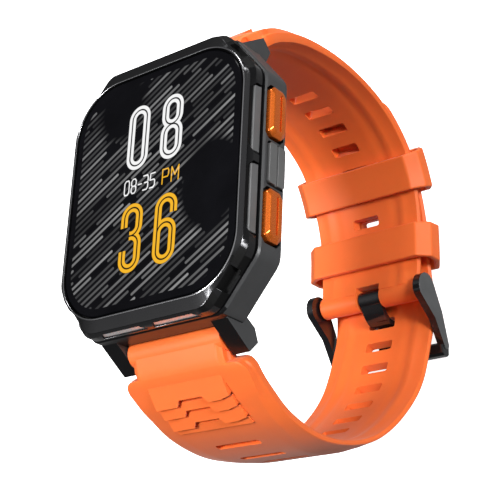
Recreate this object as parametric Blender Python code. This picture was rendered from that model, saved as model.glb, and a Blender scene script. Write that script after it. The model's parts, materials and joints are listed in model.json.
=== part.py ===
"""GPS running watch, fastened: case with inner parts, two-piece silicone strap, keepers and tang buckle.

Frame: +X is the 3 o'clock side with the buttons, +Y is 12 o'clock, +Z points out of the dial.
Sizes are in millimetres. Shapes are drawn with z = 0 on the glass, and the finished watch is then
moved so that the origin is under the middle of its box, on the surface that its buckle stands on.
"""

import math

import bmesh
import bpy
import numpy as np

MM = 0.001

# Clearances
TOUCH_GAP = 0.3
SLIDE_GAP = 0.4
LAYER_GAP = 0.4

# Glass and display
GLASS_CORNER = 10.0
GLASS_EDGE = 0.3
GLASS_CLEARANCE = 0.25
GLASS_THICK = 1.0
DISPLAY_THICK = 1.3
SEAT_WIDTH = 1.9
GASKET_THICK = 0.3

# Case outline: an upright octagon with cut corners
CASE_HALF_X = 22.3
CASE_HALF_Y = 26.9
CORNER_CUT_X = 7.6
CORNER_CUT_Y = 9.4
CORNER_SOFT = 1.2

# Bezel
BEZEL_WIDTH_X = 1.9
BEZEL_WIDTH_Y = 3.3
BEZEL_LIP = 0.15
LIP_WIDTH = 0.4
LIP_SLOPE = 0.1
BEZEL_EDGE_Z = -0.45
BEZEL_DEPTH = 3.4
BEZEL_TAPER = 0.45
BEZEL_TAPER_DROP = 0.6
RECESS_DEPTH = 0.6
SIDE_RECESS_LENGTH = 13.6
SIDE_RECESS_DROP = 0.15
SIDE_RECESS_SLANT = 1.2
SIDE_RIB = 1.6
END_RECESS_LENGTH = 10.8
END_RECESS_DROP = 0.8
END_RECESS_SLANT = 0.9
END_RECESS_LAND = 0.5
END_RIB = 1.5
CORNER_SLOT_LENGTH = 4.6
CORNER_SLOT_DEPTH = 0.9
CORNER_SLOT_LAND = 0.4
OVERCUT = 1.0

# Mid case and cavity
MID_DEPTH = 11.2
MID_STEP = 0.6
WALL_X = 2.9
WALL_Y = 3.5
CAVITY_CUT_X = 11.0
CAVITY_CUT_Y = 13.4
CASE_CHAMFER = 2.2
CHAMFER_TOP_Z = -9.6

# Back cover, its gasket, window, contacts and screws
COVER_THICK = 1.5
COVER_TAPER = 1.5
SEAL_WIDTH = 0.5
SEAL_OUTSET = 0.3
SEAL_GROOVE = 0.9
WINDOW_RADIUS = 9.1
WINDOW_THICK = 1.2
WINDOW_LEDGE = 1.3
WINDOW_SEAT_DEPTH = 0.7
WINDOW_DOME = 1.6
SENSOR_BOARD_RADIUS = 7.4
SENSOR_BOARD_THICK = 0.6
CONTACT_RADIUS = 1.1
CONTACT_SPACING = 7.0
CONTACT_Y = -15.5
CONTACT_RISE = 0.05
SCREW_INSET_X = 7.0
SCREW_INSET_Y = 9.3
SCREW_HEAD_RADIUS = 1.15
SCREW_HEAD_THICK = 0.7
SCREW_SHANK_RADIUS = 0.6
SCREW_LENGTH = 4.2
DRIVER_SLOT = 0.3

# Chassis and electronics
CHASSIS_GAP_X = 4.2
CHASSIS_GAP_Y = 1.8
CHASSIS_WALL = 1.0
CHASSIS_TOP_Z = -4.0
CHASSIS_FLOOR_TOP_Z = -6.9
CHASSIS_FLOOR_THICK = 0.7
CHASSIS_BOTTOM_Z = -10.8
BOARD_THICK = 0.7
SHIELD_HEIGHT = 1.0
CABLE_SLIT_HALF_X = 5.0
CABLE_SLIT_HALF_Y = 0.8
SHIELD_CENTRE = (-4.0, 6.0)
SHIELD_HALF = 6.2
RECEIVER_CENTRE = (7.6, 9.0)
RECEIVER_HALF = 3.4
MICROPHONE_CENTRE = (-9.0, -7.0)
MICROPHONE_HALF_X = 1.9
MICROPHONE_HALF_Y = 1.4
CONNECTOR_CENTRE = (4.0, -9.5)
CONNECTOR_HALF_X = 4.2
CONNECTOR_HALF_Y = 1.3
CONNECTOR_HEIGHT = 0.7
BATTERY_Y = 2.6
BATTERY_HALF_X = 12.4
BATTERY_HALF_Y = 12.0
BATTERY_THICK = 2.6
BATTERY_CORNER = 1.0
BATTERY_EDGE = 0.4
MOTOR_CENTRE = (-5.2, -14.4)
MOTOR_RADIUS = 3.6
MOTOR_THICK = 2.4
SPEAKER_CENTRE = (4.6, -14.2)
SPEAKER_HALF_X = 4.6
SPEAKER_HALF_Y = 3.4
ANTENNA_THICK = 0.5
ANTENNA_HALF_X = 7.5
ANTENNA_INSET = 1.0
PORT_Y = -9.5
PORT_PITCH = 3.0
PORT_COUNT = 3
PORT_HALF_Y = 0.9
PORT_HALF_Z = 0.5
MICROPHONE_PORT_Y = 8.0

# Buttons
BUTTON_Y = 9.9
BUTTON_Z = -6.6
BUTTON_HALF_Y = 4.9
BUTTON_HALF_Z = 2.1
BUTTON_PROUD = 1.1
BUTTON_THICK = 1.9
BUTTON_TRAVEL = 0.5
BUTTON_GROOVE = 0.5
BUTTON_GROOVE_DEPTH = 0.5
BUTTON_GROOVE_SHARE = 0.72
BUTTON_GROOVE_DROP = 0.3
BUTTON_CORNER = 0.9
BUTTON_EDGE = 0.6
BUTTON_CROWN_INSET_Y = 0.7
BUTTON_CROWN_INSET_Z = 0.5
STEM_RADIUS = 0.8
STEM_LENGTH = 3.5
SEAL_RING_RADIUS = 0.35
BORE_RUN_OUT = 2.0
GLAND_DEPTH = 1.2
SWITCH_THICK = 1.3
SWITCH_HALF_Y = 2.2
SWITCH_HALF_Z = 1.3
SWITCH_GAP = 0.2
TRIM_DROP = 0.6
TRIM_HALF_Y = 3.9
TRIM_HALF_Z = 2.2
TRIM_THICK = 0.9
TRIM_CORNER = 0.4
TRIM_GROOVE = 0.4

# Lugs and spring bars
LUG_GAP = 22.4
LUG_WIDTH = 3.7
LUG_REACH = 1.0
LUG_ROOT = 2.2
LUG_TOP_Z = -5.6
LUG_OVERLAP = 0.15
BAR_Z = -10.9
BAR_RADIUS = 0.75
BAR_CLEARANCE = 0.35
BAR_ENTRY = 2.2

# Strap
STRAP_ROLL_RADIUS = 2.6
STRAP_SIDE_GAP = 0.35
ROOT_THICK = 5.0
SHOULDER_FROM_LUG = 3.4
SHOULDER_HALF = 14.6
SHOULDER_EASE = 1.5
SHOULDER_EASE_LENGTH = 1.8
UPPER_END_HALF = 12.6
LOWER_END_HALF = 12.7
LUG_END_THICK = 4.1
LUG_END_LENGTH = 6.0
THIN_FROM_LUG = 34.0
TAPER_FROM_LUG = 12.0
UPPER_TAPER_FROM_PIN = 28.0
UPPER_TAPER_SHARE = 0.4
LOWER_TAPER_END = 75.0
TIP_ROUNDING = 7.0
EDGE_BEVEL = 1.2
EDGE_SLOPE = 3.6
UPPER_THICK = 2.5
LOWER_THICK = 2.3
BULGE_12 = 10.0
BULGE_6 = 12.0
UPPER_FINISH_LENGTH = 6.0
UPPER_FINISH_DROP = 0.35
LOWER_FINISH_LENGTH = 9.1
START_SET_BACK = 0.6
LOOP_DEPTH = 60.7
SLOT_HALF_WIDTH = 3.3
SLOT_LENGTH = 2.3
SLOT_PITCH = 5.7
SLOT_OVERCUT = 1.5
UPPER_SLOT_COUNT = 8
UPPER_SLOT_FROM_PIN = 11.5
LOWER_SLOTS_EACH_WAY = 6
TONGUE_SLOT_SET_BACK = 4.5
TONGUE_SAG = 0.9
PIN_SAG = 0.6
PIN_SAG_REACH = 1.0
OVERLAP_FLARE = 1.1
OVERLAP_FLARE_FROM_PIN = 8.0
OVERLAP_SETTLE_FROM_PIN = 16.0
OVERLAP_SETTLE = 0.5
OVERLAP_FLAT_FROM_PIN = 24.0
OVERLAP_END_FROM_PIN = 45.0
GRIP_SLOT_HALF_WIDTH = 5.1
GRIP_SLOT_DEPTH = 0.8
GRIP_SLOT_COUNT = 3
GRIP_SLOT_PITCH = 6.65
GRIP_FROM_TONGUE = 51.8

# Keepers
KEEPER_WALL = 1.3
KEEPER_LENGTH = 7.9
FIXED_KEEPER_SIDE_GAP = 1.7
FREE_KEEPER_SIDE_GAP = 1.2
KEEPER_BEVEL = 2.0
KEEPER_EDGE_RISE = 0.6
FIXED_KEEPER_SLACK = 1.3
FREE_KEEPER_SLACK = 0.4
FIXED_KEEPER_FROM_PIN = 10.2
FREE_KEEPER_FROM_PIN = 25.7
KEEPER_ARC_HALF = 7.0

# Buckle
BUCKLE_ROLL_RADIUS = 2.4
PIN_RADIUS = 0.75
ARM_THICK = 1.6
ARM_SIDE_GAP = 0.5
ARM_SKIN = 0.5
ARM_REACH = 11.2
ARM_DROP = 6.4
ARM_BOSS_RADIUS = 3.2
ARM_BOSS_SET_BACK = 0.6
ARM_BOSS_RISE = 1.4
ARM_MID_HALF = 1.8
ARM_BOW = 0.9
ARM_TIP_RADIUS = 1.0
BAR_SET_BACK = 1.0
BAR_HALF_Y = 1.5
BAR_THICK = 2.3
TONGUE_HALF = 2.6
TONGUE_THICK = 1.1
TONGUE_NOTCH_GAP = 0.4
TONGUE_REST_DEPTH = 1.5
TONGUE_EYE_RADIUS = 1.9

ROUND_STEPS = 20

# Worked-out places
BAR_Y = CASE_HALF_Y + LUG_REACH
PIN_Y = 0.0
PIN_Z = BAR_Z - LOOP_DEPTH
MID_TOP_Z = -BEZEL_DEPTH - TOUCH_GAP
COVER_TOP_Z = -MID_DEPTH - TOUCH_GAP
COVER_BOTTOM_Z = COVER_TOP_Z - COVER_THICK
GLASS_HALF_X = CASE_HALF_X - BEZEL_WIDTH_X
GLASS_HALF_Y = CASE_HALF_Y - BEZEL_WIDTH_Y
SEAT_Z = -GLASS_THICK - GASKET_THICK - 2 * TOUCH_GAP
MID_HALF_X = CASE_HALF_X + MID_STEP
MID_HALF_Y = CASE_HALF_Y
RECESS_FLOOR_X = MID_HALF_X + BUTTON_PROUD - BUTTON_THICK - BUTTON_TRAVEL - SWITCH_GAP
CAVITY_HALF_X = MID_HALF_X - WALL_X
CAVITY_HALF_Y = MID_HALF_Y - WALL_Y
CHASSIS_HALF_X = CAVITY_HALF_X - CHASSIS_GAP_X
CHASSIS_HALF_Y = CAVITY_HALF_Y - CHASSIS_GAP_Y
TRIM_Z = BUTTON_Z - TRIM_DROP
STRAP_END_HALF = LUG_GAP / 2 - STRAP_SIDE_GAP


# Materials

def make_material(name, colour, roughness, metallic=0.0):
    material = bpy.data.materials.new(name)
    material.use_nodes = True
    shader = material.node_tree.nodes["Principled BSDF"]
    shader.inputs["Base Color"].default_value = (*colour, 1.0)
    shader.inputs["Roughness"].default_value = roughness
    shader.inputs["Metallic"].default_value = metallic
    material.diffuse_color = (*colour, 1.0)
    return material


# Outlines in the plane of the dial

def soft_octagon(half_x, half_y, cut_x, cut_y, soft):
    """An octagon with each corner replaced by a short three-point curve."""
    quarter = [(half_x, half_y - cut_y), (half_x - cut_x, half_y)]
    corners = [(x, y) for x, y in quarter]
    corners += [(-x, y) for x, y in reversed(quarter)]
    corners += [(-x, -y) for x, y in quarter]
    corners += [(x, -y) for x, y in reversed(quarter)]
    points = []
    for i, corner in enumerate(corners):
        here = np.array(corner)
        before = np.array(corners[i - 1])
        after = np.array(corners[(i + 1) % len(corners)])
        start = here + (before - here) / np.linalg.norm(before - here) * soft
        end = here + (after - here) / np.linalg.norm(after - here) * soft
        points += [start, (start + 2 * here + end) / 4, end]
    return np.array(points)


def rounded_rectangle(half_x, half_y, radius, steps=6):
    points = []
    for quarter, (sign_x, sign_y) in enumerate([(1, 1), (-1, 1), (-1, -1), (1, -1)]):
        for step in range(steps + 1):
            angle = (quarter + step / steps) * math.pi / 2
            x = sign_x * (half_x - radius) + radius * math.cos(angle)
            y = sign_y * (half_y - radius) + radius * math.sin(angle)
            points.append((x, y))
    return np.array(points)


def outline_angles(*outlines):
    """The directions of all the outlines' corners, without near repeats."""
    angles = sorted(math.atan2(y, x) for outline in outlines for x, y in outline)
    kept = [angles[0]]
    for angle in angles[1:]:
        if angle - kept[-1] > 0.02:
            kept.append(angle)
    return kept


def outline_at(outline, angles):
    """Where rays from the middle at these angles cross a convex outline."""
    following = np.roll(outline, -1, axis=0)
    points = []
    for angle in angles:
        ray = np.array([math.cos(angle), math.sin(angle)])
        for start, end in zip(outline, following):
            edge = end - start
            cross = ray[0] * edge[1] - ray[1] * edge[0]
            if abs(cross) < 1e-12:
                continue
            along_ray = (start[0] * edge[1] - start[1] * edge[0]) / cross
            along_edge = (start[0] * ray[1] - start[1] * ray[0]) / cross
            if along_ray > 0 and -1e-9 <= along_edge <= 1 + 1e-9:
                points.append(ray * along_ray)
                break
    return np.array(points)


def case_outline(inset=0.0, half_x=CASE_HALF_X, half_y=CASE_HALF_Y):
    cut_scale = 1 - inset / (2 * CASE_HALF_X)
    cut_x = CORNER_CUT_X * cut_scale
    cut_y = CORNER_CUT_Y * cut_scale
    return soft_octagon(half_x - inset, half_y - inset, cut_x, cut_y, CORNER_SOFT)


def cavity_outline(inset=0.0):
    half_x = CAVITY_HALF_X - inset
    half_y = CAVITY_HALF_Y - inset
    return soft_octagon(half_x, half_y, CAVITY_CUT_X - inset, CAVITY_CUT_Y - inset, CORNER_SOFT)


def chassis_outline(inset=0.0):
    half_x = CHASSIS_HALF_X - inset
    half_y = CHASSIS_HALF_Y - inset
    cut_x = CAVITY_CUT_X - (CAVITY_HALF_X - CHASSIS_HALF_X)
    cut_y = CAVITY_CUT_Y - (CAVITY_HALF_Y - CHASSIS_HALF_Y) * 2
    return soft_octagon(half_x, half_y, cut_x, cut_y, CORNER_SOFT / 2)


# Meshes

def finish_mesh(name, builder, material, origin=(0.0, 0.0, 0.0), smooth_angle=None):
    """Turn a bmesh drawn in millimetres into an object whose origin is at origin."""
    bmesh.ops.recalc_face_normals(builder, faces=builder.faces)
    bmesh.ops.translate(builder, verts=builder.verts, vec=[-value for value in origin])
    bmesh.ops.scale(builder, verts=builder.verts, vec=(MM, MM, MM))
    mesh = bpy.data.meshes.new(name)
    builder.to_mesh(mesh)
    builder.free()
    item = bpy.data.objects.new(name, mesh)
    item.location = [value * MM for value in origin]
    bpy.context.scene.collection.objects.link(item)
    if material:
        mesh.materials.append(material)
    if smooth_angle:
        mesh.shade_smooth()
        mesh.set_sharp_from_angle(angle=math.radians(smooth_angle))
    return item


def add_loft(builder, loops, closed=False):
    """Skin successive loops of equal length: closed joins last to first, else the ends are capped."""
    rows = [[builder.verts.new(point) for point in loop] for loop in loops]
    count = len(rows[0])
    pairs = list(zip(rows, rows[1:]))
    if closed:
        pairs.append((rows[-1], rows[0]))
    for low, high in pairs:
        for i in range(count):
            j = (i + 1) % count
            builder.faces.new((low[i], low[j], high[j], high[i]))
    if not closed:
        builder.faces.new(rows[0])
        builder.faces.new(rows[-1])


def add_prism(builder, outline, low, high, axis="z"):
    """Extrude a flat outline: (x, y) along z, (y, z) along x, or (x, z) along y."""
    def place(first, second, height):
        if axis == "z":
            return (first, second, height)
        if axis == "x":
            return (height, first, second)
        return (first, height, second)

    loops = [[place(*point, height) for point in outline] for height in (low, high)]
    add_loft(builder, loops)


def circle(radius, centre=(0.0, 0.0), steps=ROUND_STEPS):
    turn = 2 * math.pi / steps
    return [
        (centre[0] + radius * math.cos(i * turn), centre[1] + radius * math.sin(i * turn))
        for i in range(steps)
    ]


def box_outline(centre, half_first, half_second):
    first, second = centre
    return [
        (first - half_first, second - half_second),
        (first + half_first, second - half_second),
        (first + half_first, second + half_second),
        (first - half_first, second + half_second),
    ]


def chamfered_box(centre, half_first, half_second, cut):
    first, second = centre
    corner = [(half_first, half_second - cut), (half_first - cut, half_second)]
    ring = corner + [(-x, y) for x, y in reversed(corner)]
    ring += [(-x, -y) for x, y in corner] + [(x, -y) for x, y in reversed(corner)]
    return [(first + x, second + y) for x, y in ring]


def prism(name, outline, low, high, material, axis="z", origin=(0.0, 0.0, 0.0), smooth=None):
    builder = bmesh.new()
    add_prism(builder, outline, low, high, axis)
    return finish_mesh(name, builder, material, origin, smooth)


def disc_stack(name, steps, centre, material, axis="z", origin=(0.0, 0.0, 0.0)):
    """A turned solid from (radius, height) steps along an axis through centre."""
    loops = []
    for radius, height in steps:
        ring = circle(radius, centre)
        if axis == "z":
            loops.append([(x, y, height) for x, y in ring])
        else:
            loops.append([(height, y, z) for y, z in ring])
    builder = bmesh.new()
    add_loft(builder, loops)
    return finish_mesh(name, builder, material, origin, 40)


def ring_of(outline_pairs, angles):
    """Loops for a closed ring, from (outline, z) pairs taken around its section."""
    loops = []
    for outline, height in outline_pairs:
        loops.append([(x, y, height) for x, y in outline_at(outline, angles)])
    return loops


def combine(target, other, operation):
    """Join other to target, or cut it away, and keep other as a hidden guide."""
    other.hide_render = True
    other.display_type = "WIRE"
    modifier = target.modifiers.new(other.name, "BOOLEAN")
    modifier.operation = operation
    modifier.solver = "EXACT"
    modifier.object = other


def cut(target, other):
    combine(target, other, "DIFFERENCE")


def join(target, other):
    combine(target, other, "UNION")


# Strap paths, as (y, z) points of the wrist side of the strap

def curve_through(points, spacing=0.25):
    """A smooth curve through the points, resampled at an even spacing."""
    points = np.array(points)
    first = 2 * points[0] - points[1]
    last = 2 * points[-1] - points[-2]
    padded = np.vstack([first, points, last])
    dense = []
    for a, b, c, d in zip(padded, padded[1:], padded[2:], padded[3:]):
        for step in np.linspace(0, 1, 24, endpoint=False):
            square = step * step
            cube = square * step
            dense.append(
                0.5 * (2 * b + (c - a) * step + (2 * a - 5 * b + 4 * c - d) * square
                       + (3 * b - a - 3 * c + d) * cube)
            )
    dense.append(points[-1])
    dense = np.array(dense)
    travelled = np.r_[0, np.cumsum(np.linalg.norm(np.diff(dense, axis=0), axis=1))]
    count = int(travelled[-1] / spacing) + 1
    even = np.linspace(0, travelled[-1], count)
    return np.column_stack([np.interp(even, travelled, dense[:, i]) for i in (0, 1)])


class StrapPath:
    """A path with its length, tangents and the direction away from the wrist."""

    def __init__(self, points, side):
        self.points = curve_through(points)
        self.side = side
        steps = np.linalg.norm(np.diff(self.points, axis=0), axis=1)
        self.travelled = np.r_[0, np.cumsum(steps)]
        self.length = self.travelled[-1]
        tangents = np.gradient(self.points, axis=0)
        self.tangents = tangents / np.linalg.norm(tangents, axis=1)[:, None]

    def at(self, distance):
        """Point, tangent and outward direction at a distance from the lug end."""
        point = [np.interp(distance, self.travelled, self.points[:, i]) for i in (0, 1)]
        tangent = [np.interp(distance, self.travelled, self.tangents[:, i]) for i in (0, 1)]
        tangent = np.array(tangent) / np.linalg.norm(tangent)
        outward = self.side * np.array([-tangent[1], tangent[0]])
        return np.array(point), tangent, outward

    def nearest(self, point):
        gaps = np.linalg.norm(self.points - np.array(point), axis=1)
        return self.travelled[int(np.argmin(gaps))]


# Each point is (share of the loop's half width, share of its depth below the spring bars)
UPPER_SHAPE = [
    (0.790, 0.058), (0.875, 0.122), (0.955, 0.240), (0.995, 0.380), (1.000, 0.512),
    (0.973, 0.624), (0.920, 0.725), (0.846, 0.806), (0.753, 0.868), (0.585, 0.926),
    (0.399, 0.958),
]
LOWER_SHAPE = [
    (0.750, 0.050), (0.812, 0.086), (0.874, 0.137), (0.957, 0.240), (1.000, 0.390),
    (0.976, 0.553), (0.889, 0.710), (0.728, 0.856), (0.510, 0.978),
]


def loop_points(shape, side, half_width):
    start = (side * (BAR_Y - START_SET_BACK), BAR_Z - STRAP_ROLL_RADIUS)
    points = [start]
    points += [(side * half_width * across, BAR_Z - LOOP_DEPTH * down) for across, down in shape]
    return points


def make_upper_path():
    points = loop_points(UPPER_SHAPE, 1, BAR_Y + BULGE_12)
    roll_top = PIN_Z + BUCKLE_ROLL_RADIUS
    points.append((PIN_Y + UPPER_FINISH_LENGTH, roll_top - UPPER_FINISH_DROP))
    points.append((PIN_Y, roll_top))
    return StrapPath(points, 1)


def make_lower_path(upper):
    """From the 6 o'clock lug round under the buckle pin, then along the upper strap's outer side."""
    points = loop_points(LOWER_SHAPE, -1, BAR_Y + BULGE_6)
    below_pin = PIN_Z - BUCKLE_ROLL_RADIUS - LAYER_GAP
    points.append((PIN_Y - LOWER_FINISH_LENGTH, below_pin))
    points.append((PIN_Y - TONGUE_SLOT_SET_BACK, below_pin - TONGUE_SAG))
    points.append((PIN_Y + PIN_SAG_REACH, below_pin - PIN_SAG))
    flare_at = [OVERLAP_FLARE_FROM_PIN, OVERLAP_SETTLE_FROM_PIN, OVERLAP_FLAT_FROM_PIN]
    flare = [OVERLAP_FLARE, OVERLAP_SETTLE, 0.0]
    for from_pin in np.linspace(OVERLAP_FLARE_FROM_PIN, OVERLAP_END_FROM_PIN, 6):
        point, _, outward = upper.at(upper.length - from_pin)
        offset = UPPER_THICK + LAYER_GAP + np.interp(from_pin, flare_at, flare)
        points.append(tuple(point + outward * offset))
    return StrapPath(points, -1)


def upper_half_width(distance, path):
    places = [TAPER_FROM_LUG, path.length - UPPER_TAPER_FROM_PIN, path.length]
    taper = np.interp(distance, places, [0.0, UPPER_TAPER_SHARE, 1.0])
    return SHOULDER_HALF + (UPPER_END_HALF - SHOULDER_HALF) * taper


def lower_half_width(distance, path):
    taper = np.interp(distance, [TAPER_FROM_LUG, LOWER_TAPER_END], [0.0, 1.0])
    half = SHOULDER_HALF + (LOWER_END_HALF - SHOULDER_HALF) * taper
    to_tip = path.length - distance
    if to_tip < TIP_ROUNDING:
        half *= math.sqrt(max(1 - (1 - to_tip / TIP_ROUNDING) ** 2, 0.09))
    return half


def thickness(distance, end_thick):
    places = [0.0, LUG_END_LENGTH, THIN_FROM_LUG]
    return np.interp(distance, places, [ROOT_THICK, LUG_END_THICK, end_thick])


def strap_section(half, thick):
    """Across the strap: bevelled wrist side, upright edge, then a slope up to the raised middle."""
    right = [
        (half - EDGE_BEVEL, 0.0), (half, 0.35 * thick), (half - EDGE_BEVEL / 6, 0.55 * thick),
        (half - EDGE_SLOPE * 0.75, 0.9 * thick), (half - EDGE_SLOPE, thick),
    ]
    return right + [(-x, v) for x, v in reversed(right)]


def section_loop(path, distance, half, thick):
    point, _, outward = path.at(distance)
    loop = []
    for x, v in strap_section(half, thick):
        y, z = point + outward * v
        loop.append((x, y, z))
    return loop


def strap_slot(builder, path, distance, half_width, low, high, length=SLOT_LENGTH):
    """A box across the strap, from low to high outward of its wrist side."""
    point, tangent, outward = path.at(distance)
    loops = []
    for v in (low, high):
        loop = []
        for x, along in [(-1, -1), (1, -1), (1, 1), (-1, 1)]:
            y, z = point + outward * v + tangent * along * length / 2
            loop.append((x * half_width, y, z))
        loops.append(loop)
    add_loft(builder, loops)


def make_strap(name, path, side, half_width, end_thick, stop, material):
    """Sweep one strap half, with its narrow root between the lugs and the spring bar's roll."""
    stations = [(0.0, STRAP_END_HALF), (SHOULDER_FROM_LUG - 0.05, STRAP_END_HALF)]
    for share, ease in ((0.0, 1.0), (0.4, 0.3)):
        distance = SHOULDER_FROM_LUG + share * SHOULDER_EASE_LENGTH
        stations.append((distance, SHOULDER_HALF - ease * SHOULDER_EASE))
    for distance in np.linspace(SHOULDER_FROM_LUG + SHOULDER_EASE_LENGTH, stop, 57):
        stations.append((distance, half_width(distance, path)))
    loops = []
    for distance, half in stations:
        loops.append(section_loop(path, distance, half, thickness(distance, end_thick)))
    builder = bmesh.new()
    add_loft(builder, loops)
    strap = finish_mesh(name, builder, material, smooth_angle=35)
    centre = (side * BAR_Y, BAR_Z)
    roll = circle(STRAP_ROLL_RADIUS, centre)
    join(strap, prism(name + "_roll", roll, -STRAP_END_HALF, STRAP_END_HALF, None, "x"))
    bore = circle(BAR_RADIUS + BAR_CLEARANCE, centre, 12)
    cut(strap, prism(name + "_bore", bore, -SHOULDER_HALF, SHOULDER_HALF, None, "x"))
    return strap


def make_straps(upper, lower, rubber):
    strap_12 = make_strap(
        "strap_upper", upper, 1, upper_half_width, UPPER_THICK, upper.length - 1.0, rubber
    )
    pin_centre = (PIN_Y, PIN_Z)
    roll = circle(BUCKLE_ROLL_RADIUS, pin_centre)
    join(strap_12, prism("buckle_roll", roll, -UPPER_END_HALF, UPPER_END_HALF, None, "x"))
    bore = circle(PIN_RADIUS + BAR_CLEARANCE, pin_centre, 12)
    cut(strap_12, prism("buckle_bore", bore, -SHOULDER_HALF, SHOULDER_HALF, None, "x"))
    notch_half = TONGUE_HALF + TONGUE_NOTCH_GAP
    notch_reach = BUCKLE_ROLL_RADIUS + TONGUE_NOTCH_GAP
    notch = box_outline((PIN_Y - TONGUE_NOTCH_GAP, PIN_Z), notch_reach, notch_reach + OVERCUT)
    cut(strap_12, prism("tongue_notch", notch, -notch_half, notch_half, None, "x"))
    slots = bmesh.new()
    for i in range(UPPER_SLOT_COUNT):
        distance = upper.length - UPPER_SLOT_FROM_PIN - i * SLOT_PITCH
        strap_slot(slots, upper, distance, SLOT_HALF_WIDTH, -SLOT_OVERCUT,
                   UPPER_THICK + SLOT_OVERCUT)
    cut(strap_12, finish_mesh("upper_slots", slots, None))

    strap_6 = make_strap(
        "strap_lower", lower, -1, lower_half_width, LOWER_THICK, lower.length, rubber
    )
    slots = bmesh.new()
    below_pin = PIN_Z - BUCKLE_ROLL_RADIUS - LAYER_GAP
    tongue_slot = lower.nearest((PIN_Y - TONGUE_SLOT_SET_BACK, below_pin))
    for i in range(-LOWER_SLOTS_EACH_WAY, LOWER_SLOTS_EACH_WAY + 1):
        distance = tongue_slot + i * SLOT_PITCH
        strap_slot(slots, lower, distance, SLOT_HALF_WIDTH, -SLOT_OVERCUT,
                   LOWER_THICK + SLOT_OVERCUT)
    cut(strap_6, finish_mesh("lower_slots", slots, None))
    slots = bmesh.new()
    for i in range(GRIP_SLOT_COUNT):
        distance = tongue_slot - GRIP_FROM_TONGUE - i * GRIP_SLOT_PITCH
        floor = thickness(distance, LOWER_THICK) - GRIP_SLOT_DEPTH
        strap_slot(slots, lower, distance, GRIP_SLOT_HALF_WIDTH, floor, floor + LUG_END_THICK)
    cut(strap_6, finish_mesh("grip_slots", slots, None))
    return tongue_slot


def make_spring_bars(steel):
    for name, side in (("spring_bar_12", 1), ("spring_bar_6", -1)):
        reach = LUG_GAP / 2 + BAR_ENTRY
        outline = circle(BAR_RADIUS, (side * BAR_Y, BAR_Z), 12)
        prism(name, outline, -reach, reach, steel, "x", smooth=40)


# Case pieces

def make_glass_stack(glass, panel, rubber):
    outline = rounded_rectangle(GLASS_HALF_X, GLASS_HALF_Y, GLASS_CORNER)
    edge = rounded_rectangle(
        GLASS_HALF_X - GLASS_EDGE, GLASS_HALF_Y - GLASS_EDGE, GLASS_CORNER - GLASS_EDGE
    )
    builder = bmesh.new()
    loops = [
        [(x, y, -GLASS_THICK) for x, y in outline],
        [(x, y, -GLASS_EDGE) for x, y in outline],
        [(x, y, 0.0) for x, y in edge],
    ]
    add_loft(builder, loops)
    finish_mesh("cover_glass", builder, glass, smooth_angle=30)

    seat_x = GLASS_HALF_X - SEAT_WIDTH
    seat_y = GLASS_HALF_Y - SEAT_WIDTH
    seat_r = GLASS_CORNER - SEAT_WIDTH
    outer = rounded_rectangle(GLASS_HALF_X - 0.1, GLASS_HALF_Y - 0.1, GLASS_CORNER - 0.1)
    inner = rounded_rectangle(seat_x + TOUCH_GAP, seat_y + TOUCH_GAP, seat_r + TOUCH_GAP)
    top = -GLASS_THICK - TOUCH_GAP
    builder = bmesh.new()
    loops = []
    for ring, height in ((outer, top), (outer, top - GASKET_THICK),
                         (inner, top - GASKET_THICK), (inner, top)):
        loops.append([(x, y, height) for x, y in ring])
    add_loft(builder, loops, closed=True)
    finish_mesh("glass_gasket", builder, rubber)

    panel_outline = rounded_rectangle(seat_x - TOUCH_GAP, seat_y - TOUCH_GAP, seat_r - TOUCH_GAP)
    prism("display_panel", panel_outline, top - DISPLAY_THICK, top, panel)


def side_recess(builder, sign, low, high):
    """A long recess in a bezel side with slanting ends, open to the rear edge."""
    slant = SIDE_RECESS_SLANT
    top = BEZEL_EDGE_Z - SIDE_RECESS_DROP
    bottom = -BEZEL_DEPTH - OVERCUT
    floor = sign * (CASE_HALF_X - RECESS_DEPTH)
    face = sign * (CASE_HALF_X + OVERCUT)
    outline = [(low + slant, top), (high - slant, top), (high, bottom), (low, bottom)]
    add_prism(builder, outline, min(floor, face), max(floor, face), "x")


def end_recess(builder, sign, low, high):
    """The matching recess in the bezel's 12 or 6 o'clock face."""
    slant = END_RECESS_SLANT
    top = BEZEL_EDGE_Z - END_RECESS_DROP
    bottom = -BEZEL_DEPTH + END_RECESS_LAND
    floor = sign * (CASE_HALF_Y - RECESS_DEPTH)
    face = sign * (CASE_HALF_Y + OVERCUT)
    outline = [(low + slant, top), (high - slant, top), (high, bottom), (low, bottom)]
    add_prism(builder, outline, min(floor, face), max(floor, face), "y")


def corner_slot(builder, sign_x, sign_y):
    """A short slot along a cut corner of the bezel."""
    along = np.array([CORNER_CUT_X * sign_x, -CORNER_CUT_Y * sign_y])
    along /= np.linalg.norm(along)
    out = np.array([along[1], -along[0]])
    middle = np.array([
        sign_x * (CASE_HALF_X - CORNER_CUT_X / 2), sign_y * (CASE_HALF_Y - CORNER_CUT_Y / 2)
    ])
    if out @ middle < 0:
        out = -out
    loops = []
    for height in (-BEZEL_DEPTH + CORNER_SLOT_LAND, BEZEL_EDGE_Z - CORNER_SLOT_LAND):
        loop = []
        for a, o in [(-1, -1), (1, -1), (1, 1), (-1, 1)]:
            x, y = middle + along * a * CORNER_SLOT_LENGTH / 2 + out * o * CORNER_SLOT_DEPTH
            loop.append((x, y, height))
        loops.append(loop)
    add_loft(builder, loops)


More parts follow.
